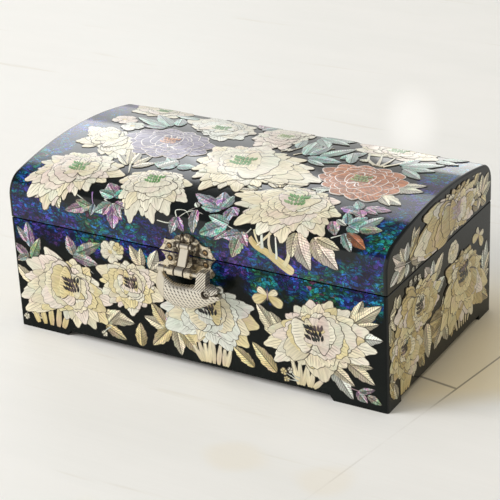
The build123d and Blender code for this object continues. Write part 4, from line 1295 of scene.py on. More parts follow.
    def grain(self, along: float, across: float) -> Socket:
        """Gives a position on a slice, each measure times its factor, with a place in depth of its
        own for each slice that is read off its tone."""
        return self.vector(self.times(self.mark("along"), along), self.times(self.mark("across"), across),
                           self.times(self.mark("tone"), TONE_DEPTH))

    def bump(self, height: Feed, distance: float) -> Socket:
        """Turns a height into a normal."""
        return self.add("Bump", {"Height": height, "Distance": distance, "Strength": 1.0}).outputs[0]


class Effects:
    """Node groups that several finishes share. Each is built once, when first asked for."""

    def __init__(self) -> None:
        """Starts with no groups."""
        self.trees: dict[str, bpy.types.NodeTree] = {}

    def start(self, name: str, inputs: dict[str, float],
              outputs: dict[str, str]) -> tuple[Bench, dict[str, Socket], bpy.types.Node]:
        """Makes an empty group with named sockets.

        Args:
            name: name of the group.
            inputs: number inputs and their defaults.
            outputs: outputs and their socket types.

        Returns:
            The bench, the inputs to read, and the output node.
        """
        tree = bpy.data.node_groups.new(name, "ShaderNodeTree")
        for label, value in inputs.items():
            tree.interface.new_socket(label, in_out="INPUT", socket_type=NUMBER).default_value = value
        for label, kind in outputs.items():
            tree.interface.new_socket(label, in_out="OUTPUT", socket_type=kind)
        self.trees[name] = tree
        source = tree.nodes.new("NodeGroupInput")
        target = tree.nodes.new("NodeGroupOutput")
        return Bench(tree), {label: source.outputs[label] for label in inputs}, target

    def use(self, bench: Bench, name: str, inputs: Inputs | None = None) -> bpy.types.NodeOutputs:
        """Places a group in a material.

        Args:
            bench: the material's bench.
            name: name of the group, which is also the name of the method that builds it.
            inputs: values or links for its inputs.

        Returns:
            The outputs of the group's node.
        """
        if name not in self.trees:
            getattr(self, name)()
        node = bench.tree.nodes.new("ShaderNodeGroup")
        node.node_tree = self.trees[name]
        bench.fill(node, inputs or {})
        return node.outputs

    def engraving(self) -> None:
        """Dark lines of a slice: its outline, a midrib and slanted veins, from the slice's marks.

        A vein is where the way along, less the way across, comes near a half between whole
        numbers. The value Half goes from 0 to 1 across the midrib.
        """
        b, given, out = self.start(
            "engraving", {"Outline": 0.3, "Spacing": 1.6, "Veins": 1.0, "Midrib": 0.0, "From": 0.3, "Plain": 0.0},
            {"Line": NUMBER, "Half": NUMBER})
        wobble = b.times(b.minus(b.noise(b.place(), 260.0), 0.5), 0.5)
        rim = b.plus(b.mark("rim"), wobble)
        outline = b.ease(rim, b.times(given["Outline"], 0.6), given["Outline"], 1.0, 0.0)
        across, reach = b.mark("across"), b.mark("reach")
        side = b.size(across)
        run = b.minus(b.times(b.mark("along"), given["Midrib"]), side)
        run = b.plus(b.over(run, given["Spacing"]), b.times(wobble, 0.8))
        vein = b.ease(b.off_middle(run), 0.13, 0.045)
        begun = b.add("MapRange", {"Value": reach, "From Min": given["From"],
                                   "From Max": b.plus(given["From"], 0.12)}).outputs[0]
        shown = b.times(begun, b.ease(reach, 0.95, 0.82))
        chosen = b.math("GREATER_THAN", b.mark("tone"), given["Plain"])
        vein = b.times(b.times(vein, shown), b.times(given["Veins"], chosen))
        rib = b.times(b.ease(side, 0.36, 0.16), b.math("MINIMUM", given["Midrib"], 1.0))
        b.fill(out, {"Line": b.larger(outline, b.larger(vein, rib)), "Half": b.ease(across, -0.2, 0.2)})

    def rainbow(self) -> None:
        """Play of colour in shell: broad clouds of rose and green and fine streaks along a slice."""
        b, given, out = self.start("rainbow", {"Cloud": 55.0}, {"Rose": NUMBER, "Green": NUMBER, "Streaks": NUMBER})
        cloud = b.noise(b.place(), given["Cloud"], 2.0, 0.6)
        b.fill(out, {"Rose": b.ease(cloud, 0.52, 0.72), "Green": b.ease(cloud, 0.48, 0.28),
                     "Streaks": b.noise(b.grain(0.10, 0.9), 1.0, 3.0, 0.65)})

    def abalone(self) -> None:
        """Abalone's colours: violet, rose, silver, aqua, teal and green in clouds that are drawn out
        along the slice, with a second value for its light and dark streaks."""
        b, given, out = self.start("abalone", {"Cloud": 190.0}, {"Colour": COLOUR, "Light": NUMBER})
        grain = b.grain(0.22, 0.8)
        streak = b.noise(grain, 1.0, 3.0, 0.6)
        cloud = b.noise(b.place(), given["Cloud"], 2.0, 0.6)
        hue = b.plus(cloud, b.times(b.minus(streak, 0.5), 0.7))
        light = b.ease(b.noise(grain, 2.6, 2.0, 0.6), 0.32, 0.68, 0.5, 1.3)
        b.fill(out, {"Colour": b.ramp(b.ease(hue, 0.26, 0.74), ABALONE), "Light": light})

    def shards(self) -> None:
        """Crushed abalone: cells with dark joints, each cell of one colour, in drifts of blue,
        teal and purple, with splinters of a finer cell pattern that let few of them shine."""
        b, given, out = self.start("shards", {"Scale": 420.0, "Glow": 1.0},
                                   {"Colour": COLOUR, "Joint": NUMBER, "Shine": NUMBER})
        where = b.place()
        bent = b.stretch(b.bend(where, 130.0, 0.006), (0.62, 1.0, 1.0), (0.0, 0.5, 0.0))
        cells = b.add("TexVoronoi", {"Vector": bent, "Scale": given["Scale"]})
        fine = b.add("TexVoronoi", {"Vector": bent, "Scale": b.times(given["Scale"], 2.3)})
        edge = b.add("TexVoronoi", {"Vector": bent, "Scale": given["Scale"]}, feature="DISTANCE_TO_EDGE")
        pick = b.add("SeparateColor", {0: cells.outputs["Color"]}).outputs
        grit = b.add("SeparateColor", {0: fine.outputs["Color"]}).outputs
        drift = b.ease(b.noise(where, 40.0, 2.0, 0.5), 0.34, 0.66, 0.0, 0.55)
        lit = b.ease(b.noise(where, 85.0, 3.0, 0.65), 0.34, 0.66, 0.34, 1.35)
        colour = b.ramp(b.plus(b.times(pick[0], 0.45), drift), CRUSHED)
        shine = b.times(b.plus(pick[1], 0.15), b.plus(grit[2], 0.1))
        glow = b.times(b.times(b.ease(shine, 0.06, 0.92, 0.24, 1.7), lit), given["Glow"])
        b.fill(out, {"Colour": b.shade(colour, glow), "Joint": b.ease(edge.outputs["Distance"], 0.0, 0.09),
                     "Shine": shine})

    def handling(self) -> None:
        """Traces of use: soft smears as one value round a half, and hairlines as another."""
        b, given, out = self.start("handling", {"Scale": 30.0}, {"Smear": NUMBER, "Hair": NUMBER})
        where = b.place()
        hair = b.noise(b.stretch(where, (900.0, 60.0, 900.0), (0.2, 0.3, 0.5)), 1.0, 1.0)
        b.fill(out, {"Smear": b.noise(where, given["Scale"], 4.0, 0.6), "Hair": b.ease(hair, 0.66, 0.72)})

    def nap(self) -> None:
        """Pile of velvet: fine tufts and brushed patches, for colour and height."""
        b, given, out = self.start("nap", {"Scale": 2600.0}, {"Tuft": NUMBER, "Brushed": NUMBER})
        where = b.place()
        b.fill(out, {"Tuft": b.noise(where, given["Scale"], 2.0, 0.7),
                     "Brushed": b.noise(b.stretch(where, (1.0, 2.6, 1.0)), 45.0, 3.0, 0.6)})

    def patina(self) -> None:
        """Age on metal: dark film in patches, more of it for a larger amount, and fine scratches."""
        b, given, out = self.start("patina", {"Scale": 120.0, "Amount": 0.5}, {"Film": NUMBER, "Scratch": NUMBER})
        where = b.place()
        broad = b.noise(where, given["Scale"], 5.0, 0.65)
        limit = b.minus(0.75, b.times(given["Amount"], 0.4))
        scratch = b.noise(b.stretch(where, (240.0, 240.0, 3400.0), (0.4, 0.7, 0.2)), 1.0, 2.0)
        b.fill(out, {"Film": b.ease(broad, limit, b.plus(limit, 0.22)), "Scratch": scratch})


def new_material(name: str) -> tuple[bpy.types.Material, Bench, bpy.types.Node]:
    """Makes an empty material with a Principled shader.

    Args:
        name: name of the material.

    Returns:
        The material, its bench and the shader node.
    """
    material = bpy.data.materials.new(name)
    material.use_nodes = True
    material.node_tree.nodes.clear()
    bench = Bench(material.node_tree)
    shader = bench.add("BsdfPrincipled")
    bench.add("OutputMaterial", {0: shader.outputs[0]})
    return material, bench, shader


@dataclass(frozen=True)
class Finish:
    """A finish with the name of its material."""

    name: str

    def make(self, effects: Effects) -> bpy.types.Material:
        """Builds the material.

        Args:
            effects: the shared node groups.

        Returns:
            The material.
        """
        material, bench, shader = new_material(self.name)
        bench.fill(shader, self.paint(bench, effects))
        return material

    def paint(self, b: Bench, effects: Effects) -> Inputs:
        """Works out what the shader is fed with.

        Args:
            b: the material's bench.
            effects: the shared node groups.

        Returns:
            The shader's inputs by name.
        """
        raise NotImplementedError


@dataclass(frozen=True)
class ShellFinish(Finish):
    """Polished shell under clear lacquer, coloured by the slice's tint, with engraved lines.

    Shares go from 0 to 1, and lengths are in the slice's millimetres.
    """

    outline: float = 0.5
    spacing: float = 1.9
    veins: float = 0.0
    midrib: float = 0.0
    vein_start: float = 0.34
    plain_share: float = 0.0
    rose: float = 0.16
    green: float = 0.14
    contrast: float = 0.22
    half_tone: float = 0.0
    line: Colour = (0.055, 0.045, 0.035)
    line_share: float = 0.92
    cloud: float = 85.0
    abalone: bool = False

    def paint(self, b: Bench, effects: Effects) -> Inputs:
        """Tints the shell, engraves it and gives it its play of colour.

        Args:
            b: the material's bench.
            effects: the shared node groups.

        Returns:
            The shader's inputs by name.
        """
        cut = effects.use(b, "engraving", {"Outline": self.outline, "Spacing": self.spacing, "Veins": self.veins,
                                           "Midrib": self.midrib, "From": self.vein_start,
                                           "Plain": self.plain_share})
        play = effects.use(b, "rainbow", {"Cloud": self.cloud})
        colour = b.mix(b.times(play["Rose"], self.rose), b.mark("tint", "Color"), (0.82, 0.56, 0.58))
        colour = b.mix(b.times(play["Green"], self.green), colour, (0.54, 0.76, 0.58))
        streak = b.ease(play["Streaks"], 0.3, 0.7, 1 - self.contrast, 1 + self.contrast * 0.4)
        light = b.times(streak, b.plus(1 - self.half_tone, b.times(cut["Half"], 2 * self.half_tone)))
        if self.abalone:
            sea = effects.use(b, "abalone", {"Cloud": self.cloud * 1.3})
            share = b.mark("play")
            colour = b.mix(share, colour, sea["Colour"])
            light = b.times(light, b.mix_value(share, 1.0, sea["Light"]))
        colour = b.mix(b.times(cut["Line"], self.line_share), b.shade(colour, light), self.line)
        height = b.minus(b.times(play["Streaks"], 0.12), cut["Line"])
        return {"Base Color": colour, "Roughness": b.ease(play["Streaks"], 0.2, 0.8, 0.24, 0.40),
                "Normal": b.bump(height, 0.00008), "Specular IOR Level": 0.12, "Coat Weight": 0.52,
                "Coat Roughness": 0.09}


@dataclass(frozen=True)
class LacquerFinish(Finish):
    """Deep black lacquer, with crushed shell let in along the seam and at the lid's ends.

    The shell lies between two heights above the table, low and high, and fades out over a
    wavering border. End is the distance from the middle where the lid's end bands start. With
    neither of high and end there is no shell. Past the rim, and past the heights of seam on the
    edges that meet there, it is plain. Past face, on the end faces, the lacquer mirrors more of
    the room. All are in metres.
    """

    low: float = 0.0
    high: float = 0.0
    waver: float = 0.012
    end: float = 0.0
    rim: float = 0.1278
    seam: Pair = (0.0, 1.0)
    coat: float = 0.3
    end_coat: float = 0.65
    face: float = 0.1296
    colour: Colour = (0.005, 0.007, 0.0065)

    def paint(self, b: Bench, effects: Effects) -> Inputs:
        """Clouds the lacquer with smears, and lets the crushed shell in.

        Args:
            b: the material's bench.
            effects: the shared node groups.

        Returns:
            The shader's inputs by name.
        """
        where = b.place()
        x, _, z = b.split(where)
        out = b.size(x)
        use = effects.use(b, "handling", {"Scale": 28.0})
        base = b.shade(self.colour, b.ease(use["Smear"], 0.3, 0.7, 0.8, 1.3))
        rough = b.ease(use["Smear"], 0.3, 0.75, 0.10, 0.2)
        height = b.times(use["Hair"], 0.2)
        if self.high > 0 or self.end > 0:
            shell = effects.use(b, "shards", {"Scale": 560.0, "Glow": 0.62})
            band = b.times(self.band(b, where, out, z), shell["Joint"])
            base = b.mix(band, base, shell["Colour"])
            height = b.plus(height, b.times(band, b.times(shell["Shine"], 0.6)))
            rough = b.plus(rough, b.times(band, 0.12))
        coat = b.ease(out, self.face - 0.0006, self.face, self.coat, self.end_coat)
        return {"Base Color": base, "Roughness": rough, "Normal": b.bump(height, 0.00003),
                "Specular IOR Level": 0.0, "Coat Weight": coat, "Coat Roughness": 0.08}

    def band(self, b: Bench, where: Socket, out: Socket, z: Socket) -> Socket:
        """Works out how much of the shell shows.

        It is a soft step up times a soft step down over the height, or a soft step over the
        distance from the middle if that is more, both shifted by noise, less the plain edges.

        Args:
            b: the material's bench.
            where: position on the piece.
            out: distance from the middle along the length.
            z: height.

        Returns:
            A share from 0 to 1.
        """
        drift = b.times(b.minus(b.noise(where, 42.0, 3.0, 0.62), 0.5), self.waver * 3.2)
        level = b.plus(z, drift)
        band = b.times(b.ease(level, self.low - 0.004, self.low + 0.004),
                       b.ease(level, self.high + 0.006, self.high - 0.004))
        if self.end > 0:
            band = b.larger(band, b.ease(b.plus(out, drift), self.end - 0.004, self.end + 0.006))
        band = b.times(band, b.ease(out, self.rim + 0.0003, self.rim - 0.0003))
        inside = b.times(b.math("GREATER_THAN", z, self.seam[0]), b.math("LESS_THAN", z, self.seam[1]))
        return b.times(band, inside)


class Relief(Enum):
    """What is worked into a piece of brass."""

    PLAIN = "plain"
    SCALES = "scales"
    CHASED = "chased"


@dataclass(frozen=True)
class BrassFinish(Finish):
    """Pale old brass with dark film in its hollows and rubbed high places.

    Scales are a lattice of strokes in rows on the fish, and chasing is a web of grooves on a
    plate. Lengths and heights are in metres: stripes start above the height of fin, a painted
    shadow line runs at the distance gap from the middle, beside the strap and between the
    knuckles, painted shade as dark film broken up by noise lies nearer the middle than the
    shade's reach, where the strap stands over the plate, and below the height of eyes the metal
    is polished. Rings give x, z and radius of round dark rings with a dark middle.
    """

    metal: Colour
    film: Colour = (0.055, 0.038, 0.022)
    amount: float = 0.5
    relief: Relief = Relief.PLAIN
    groove_film: float = 0.85
    rough: float = 0.34
    fin: float = 1.0
    gap: float = 0.0
    shade_reach: float = 0.0
    eyes: float = 0.0
    rings: tuple[Point, ...] = ()
    row: float = 0.0018
    stroke: float = 0.0026
    stripe: float = 0.0016

    def paint(self, b: Bench, effects: Effects) -> Inputs:
        """Darkens the brass where film gathers, and cuts its relief.

        Args:
            b: the material's bench.
            effects: the shared node groups.

        Returns:
            The shader's inputs by name.
        """
        age = effects.use(b, "patina", {"Scale": 170.0, "Amount": self.amount})
        dark = b.times(age["Film"], 0.75)
        height = b.times(age["Scratch"], 0.15)
        if self.relief is not Relief.PLAIN:
            groove = self.scale_grooves(b) if self.relief is Relief.SCALES else self.chased_grooves(b)
            dark = b.larger(dark, b.times(groove, self.groove_film))
            height = b.minus(height, groove)
        x, _, z = b.split(b.place())
        # Painted shade near the strap: dark film, broken up by noise, near the middle of the plate.
        if self.shade_reach > 0:
            near = b.ease(b.size(x), self.shade_reach, self.shade_reach - 0.004)
            strap_shade = b.times(near, b.ease(b.noise(b.place(), 330.0, 2.0), 0.34, 0.58))
            polished = b.ease(z, self.eyes, self.eyes - 0.0008)
            dark = b.times(b.larger(dark, b.times(strap_shade, 0.95)), b.minus(1.0, b.times(polished, 0.9)))
        for ring_x, ring_z, radius in self.rings:
            far = b.length(b.vector(b.minus(x, ring_x), 0.0, b.minus(z, ring_z)))
            ring = b.ease(b.size(b.minus(far, 0.78 * radius)), 0.34 * radius, 0.16 * radius)
            dot = b.ease(far, 0.3 * radius, 0.2 * radius)
            dark = b.larger(dark, b.times(b.larger(ring, dot), 0.92))
        # Painted shadow: a dark line beside the strap and between the knuckles.
        if self.gap > 0:
            line = b.ease(b.size(b.minus(b.size(x), self.gap)), 0.0007, 0.0004)
            dark = b.larger(dark, b.times(line, 0.95))
        rough = b.plus(b.ease(age["Scratch"], 0.3, 0.7, self.rough, self.rough + 0.14), b.times(dark, 0.3))
        return {"Base Color": b.mix(dark, self.metal, self.film), "Roughness": rough,
                "Metallic": b.ease(dark, 0.0, 1.0, 1.0, 0.55), "Normal": b.bump(height, 0.00018)}

    def scale_grooves(self, b: Bench) -> Socket:
        """Cuts rows of short slanted strokes, a leaning oval in each cell of a brick lattice.

        Above the height of the back they give way to stripes that lean forward on the fin.

        Args:
            b: the material's bench.

        Returns:
            Depth of the grooves, from 0 to 1.
        """
        x, _, z = b.split(b.place())
        rows = b.over(z, self.row)
        odd = b.times(b.math("MODULO", b.math("FLOOR", rows), 2.0), 0.5)
        u = b.minus(b.math("FRACT", b.plus(b.over(x, self.stroke), odd)), 0.5)
        v = b.minus(b.math("FRACT", rows), 0.5)
        lean = b.plus(u, b.times(v, 0.7))
        far = b.plus(b.math("POWER", b.over(lean, 0.20), 2.0), b.math("POWER", b.over(v, 0.38), 2.0))
        slant = b.over(b.minus(x, b.times(z, 0.9)), self.stripe)
        stripe = b.ease(b.off_middle(slant), 0.22, 0.10)
        return b.mix_value(b.ease(z, self.fin - 0.0004, self.fin + 0.0004), b.ease(far, 1.2, 0.5), stripe)

    def chased_grooves(self, b: Bench) -> Socket:
        """Hollows between curled leaves: far from the middle of a cell, in space bent by noise."""
        cells = b.add("TexVoronoi", {"Vector": b.bend(b.place(), 220.0, 0.008), "Scale": 300.0})
        return b.ease(cells.outputs["Distance"], 0.48, 0.78)


@dataclass(frozen=True)
class VelvetFinish(Finish):
    """Cotton velvet with tufts, brushed patches and a soft sheen at the edges."""

    pile: Colour = (0.20, 0.010, 0.028)
    worn: Colour = (0.36, 0.035, 0.065)

    def paint(self, b: Bench, effects: Effects) -> Inputs:
        """Brushes the pile lighter and darker.

        Args:
            b: the material's bench.
            effects: the shared node groups.

        Returns:
            The shader's inputs by name.
        """
        nap = effects.use(b, "nap")
        brushed = b.ease(nap["Brushed"], 0.3, 0.7)
        colour = b.mix(b.times(brushed, b.ease(nap["Tuft"], 0.2, 0.8)), self.pile, self.worn)
        return {"Base Color": colour, "Roughness": b.ease(nap["Tuft"], 0.2, 0.8, 0.8, 0.98),
                "Normal": b.bump(nap["Tuft"], 0.00025), "Sheen Weight": 0.6, "Sheen Roughness": 0.4,
                "Sheen Tint": (0.9, 0.45, 0.5)}


@dataclass(frozen=True)
class MirrorFinish(Finish):
    """Silvered glass with faint smears and a little foxing."""

    name: str = "mirror_glass"

    def paint(self, b: Bench, effects: Effects) -> Inputs:
        """Silvers the glass and spots it.

        Args:
            b: the material's bench.
            effects: the shared node groups.

        Returns:
            The shader's inputs by name.
        """
        use = effects.use(b, "handling", {"Scale": 24.0})
        spots = b.ease(b.noise(b.place(), 210.0, 4.0, 0.7), 0.68, 0.76)
        return {"Base Color": b.mix(spots, (0.88, 0.90, 0.90), (0.45, 0.42, 0.36)),
                "Roughness": b.ease(use["Smear"], 0.4, 0.8, 0.02, 0.10), "Metallic": 1.0}


@dataclass
class Finishes:
    """All materials of the box, made once."""

    effects: Effects = field(default_factory=Effects)

    def __post_init__(self) -> None:
        """Builds each material."""
        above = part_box("lid_shell")[0].z + 0.1 * MM
        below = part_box("body_front_panel")[1].z - 0.1 * MM
        fish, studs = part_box("lock_body")[1].z, [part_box(f"{part}_plate_pins") for part in ("lid", "body")]
        heads = [(low.z + high.z) / 2 for low, high in studs]
        rings = tuple((x, z, 0.0021) for z in heads for x in (-0.0124, 0.0124))
        self.pearl = self.made(ShellFinish("pearl_shell", veins=0.6, vein_start=0.55, plain_share=0.6, rose=0.26,
                                           green=0.22))
        self.dyed = self.made(ShellFinish("dyed_shell", outline=0.68, line=(0.84, 0.79, 0.75), rose=0.05,
                                          green=0.03, contrast=0.66, line_share=0.95))
        self.abalone = self.made(ShellFinish("abalone_shell", outline=0.22, spacing=2.3, veins=0.78, midrib=1.3,
                                             vein_start=0.05, rose=0.3, green=0.3, contrast=0.5, half_tone=0.34,
                                             cloud=140.0, abalone=True))
        self.lid = self.made(LacquerFinish("lid_lacquer", high=0.0895, waver=0.009, end=0.113, seam=(above, 1.0),
                                           coat=0.9))
        self.wall = self.made(LacquerFinish("wall_lacquer", low=0.0625, high=0.2, seam=(0.0, below)))
        self.plain = self.made(LacquerFinish("plain_black"))
        self.hinge = self.made(BrassFinish("hinge_metal", (0.62, 0.48, 0.26), amount=0.45))
        self.lock = self.made(BrassFinish("lock_metal", (0.80, 0.73, 0.60), amount=0.2, gap=0.0032, rough=0.28))
        self.pins = self.made(BrassFinish("pin_metal", (0.60, 0.40, 0.20), amount=0.4, rings=rings))
        self.fish = self.made(BrassFinish("fish_metal", (0.88, 0.82, 0.71), amount=0.1, relief=Relief.SCALES,
                                          groove_film=0.84, fin=fish - 0.0125,
                                          rings=((0.0186, fish - 0.0135, 0.0027),)))
        self.plate = self.made(BrassFinish("plate_metal", (0.90, 0.80, 0.62), (0.028, 0.016, 0.008), 0.68,
                                           Relief.CHASED, rough=0.2, rings=rings, gap=0.0033, shade_reach=0.0125,
                                           eyes=fish - 0.0018))
        self.board = self.made(VelvetFinish("board_velvet", pile=(0.17, 0.010, 0.024)))
        self.padding = self.made(VelvetFinish("padding_velvet"))
        self.mirror = self.made(MirrorFinish())

    def made(self, finish: Finish) -> bpy.types.Material:
        """Builds the material of a finish with the shared groups."""
        return finish.make(self.effects)

    def dress_frame(self, frame: dict) -> None:
        """Gives each CAD node its material, by the longest start of its name that is listed.
        """
        groups = {
            self.lid: ("lid_shell",),
            self.wall: ("body_front_panel", "body_rear_panel"),
            self.plain: ("base_board", "foot", "body_left", "body_right", "lid_left_end", "lid_right_end"),
            self.hinge: ("hinge",),
            self.fish: ("lock_body",),
            self.lock: ("lock_bolt", "lock_springs", "hasp"),
            self.pins: ("lid_plate_pins", "body_plate_pins"),
            self.plate: ("lid_plate", "body_plate"),
            self.board: ("liner", "lid_board", "tray"),
            self.padding: ("floor_pad", "ring_rolls"),
            self.mirror: ("lid_mirror",),
        }
        starts = {start: finish for finish, names in groups.items() for start in names}
        for name, node in frame["nodes"].items():
            finish = starts[max(filter(name.startswith, starts), key=len)]
            for slot in node.material_slots:
                slot.material = finish
            if not node.material_slots:
                node.data.materials.append(finish)
            LOG.info("%s: %s", name, finish.name)


@dataclass
class Upholstery:
    """The padded pieces inside, ring rolls and the floor pad, in metres.

    Floor is the share of a roll's height that is left in the valleys, and ripple the share that
    its cloth waves by. Along the box, the quilting's seams stand one pitch apart.
    """

    roll_count: int = 7
    floor: float = 0.42
    ripple: float = 0.02
    pitch: float = 0.03
    sharp_edge: float = 60.0

    def make(self, finishes: Finishes) -> None:
        """Makes both pieces and lets them stand for their CAD nodes."""
        self.make_rolls(finishes.padding)
        self.make_pad(finishes.padding)

    def closed_grid(self, name: str, top: Array, low: float, finish: bpy.types.Material) -> bpy.types.Object:
        """Makes a closed piece from a top grid and a flat underside.

        Args:
            name: name of the piece.
            top: grid of points.
            low: height of the underside.
            finish: its material.

        Returns:
            The object.
        """
        under = top.copy()
        under[..., 2] = low
        points = np.concatenate([top.reshape(-1, 3), under.reshape(-1, 3)])
        mesh = bpy.data.meshes.new(name)
        mesh.from_pydata(points.tolist(), [], closed_faces(*top.shape[:2]).tolist())
        mesh.validate()
        mesh.shade_smooth()
        mesh.set_sharp_from_angle(angle=math.radians(self.sharp_edge))
        mesh.materials.append(finish)
        return add_object(name, mesh)

    def make_rolls(self, finish: bpy.types.Material) -> None:
        """Makes the ring rolls.

        Across the rolls the height is a row of half ovals: the square root of one less a power
        of the way from a roll's middle. Along them it falls in a rounded end, of a higher power.

        Args:
            finish: material of the rolls.
        """
        low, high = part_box("ring_rolls")
        s = np.linspace(0, self.roll_count, self.roll_count * 20 + 1)
        t = np.linspace(-1, 1, 41)
        local = 2 * (s % 1.0) - 1
        arch = np.sqrt(np.maximum(1 - np.abs(local) ** 2.4, 0.0))
        arch[0] = arch[-1] = 0.0
        end = np.sqrt(np.maximum(1 - np.abs(t) ** 16, 0.0))
        rise = self.floor + (1 - self.floor) * arch[:, None] * end[None, :]
        ripple = 1 - self.ripple * np.sin(9 * t[None, :] + 2.1 * np.floor(s)[:, None])
        x = low.x + (high.x - low.x) * s[:, None] / self.roll_count + 0 * t[None, :]
        y = (low.y + high.y) / 2 + (high.y - low.y) / 2 * t[None, :] + 0 * s[:, None]
        z = low.z + (high.z - low.z) * rise * ripple
        piece = self.closed_grid("ring_cushion", np.stack([x, y, z], -1), low.z, finish)
        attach(piece, "tray")
        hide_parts("ring_rolls")
        LOG.info("ring_cushion: %d rolls", self.roll_count)

    def make_pad(self, finish: bpy.types.Material) -> None:
        """Makes the floor pad, quilted in diamonds.

        The height grows with the root of the smaller of two sines, one for each set of slanted
        seams, and falls off near the rim.

        Args:
            finish: material of the pad.
        """
        low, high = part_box("floor_pad")
        u, v = np.meshgrid(np.linspace(0, 1, 121), np.linspace(0, 1, 65), indexing="ij")
        x = low.x + (high.x - low.x) * u
        y = low.y + (high.y - low.y) * v
        first = np.abs(np.sin(math.pi * (x + y) / self.pitch))
        second = np.abs(np.sin(math.pi * (x - y) / self.pitch))
        puff = np.minimum(first, second) ** 0.5
        rim = np.minimum.reduce([u, 1 - u, v * 0.55, (1 - v) * 0.55]) / 0.02
        puff = (0.45 + 0.55 * puff) * np.clip(rim, 0.35, 1.0)
        top = np.stack([x, y, low.z + (high.z - low.z) * puff], -1)
        piece = self.closed_grid("floor_cushion", top, low.z, finish)
        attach(piece, "box")
        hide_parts("floor_pad")
        LOG.info("floor_cushion: quilted")


@dataclass(frozen=True)
class Lamp:
    """An area lamp that faces a point. Lengths are in metres, and its power is in watts.

    A mirrored lamp is only seen in polished faces. The others only light what they fall on.
    """

    name: str
    at: Point
    size: Pair
    power: float
    colour: Colour
    aim: Point = (0, 0, 0.1)
    mirrored: bool = True

    def hang(self) -> None:
        """Adds the lamp to the scene."""
        data = bpy.data.lights.new(self.name, "AREA")
        data.shape, data.size, data.size_y = "RECTANGLE", *self.size
        data.energy, data.color = self.power, self.colour
        lamp = add_object(self.name, data)
        lamp.location = self.at
        lamp.rotation_euler = (Vector(self.aim) - Vector(self.at)).to_track_quat("-Z", "Y").to_euler()
        lamp.visible_camera = False
        lamp.visible_glossy, lamp.visible_diffuse = self.mirrored, not self.mirrored


LAMPS = (
    Lamp("window", (-1.345, 1.169, 1.008), (0.923, 0.727), 5.1, (0.94, 0.97, 1.0)),
    Lamp("curtain", (-1.309, 1.380, 0.718), (1.034, 1.109), 3.0, (0.96, 0.98, 1.0)),
    Lamp("transom", (-0.715, 1.434, 1.18), (0.57, 0.475), 1.5, (0.94, 0.97, 1.0)),
    Lamp("doorway", (-0.634, 1.791, 0.283), (0.2, 0.433), 0.5, (1.0, 0.99, 0.95)),
    Lamp("daylight", (-0.9, -0.7, 3.3), (1.5, 1.5), 22.5, (0.93, 0.97, 1.0), mirrored=False),
    Lamp("side_light", (-3.6, -2.52, 2.15), (2.3, 2.3), 165.0, (1.0, 0.98, 0.96), (0, 0, 0.05), mirrored=False),
)


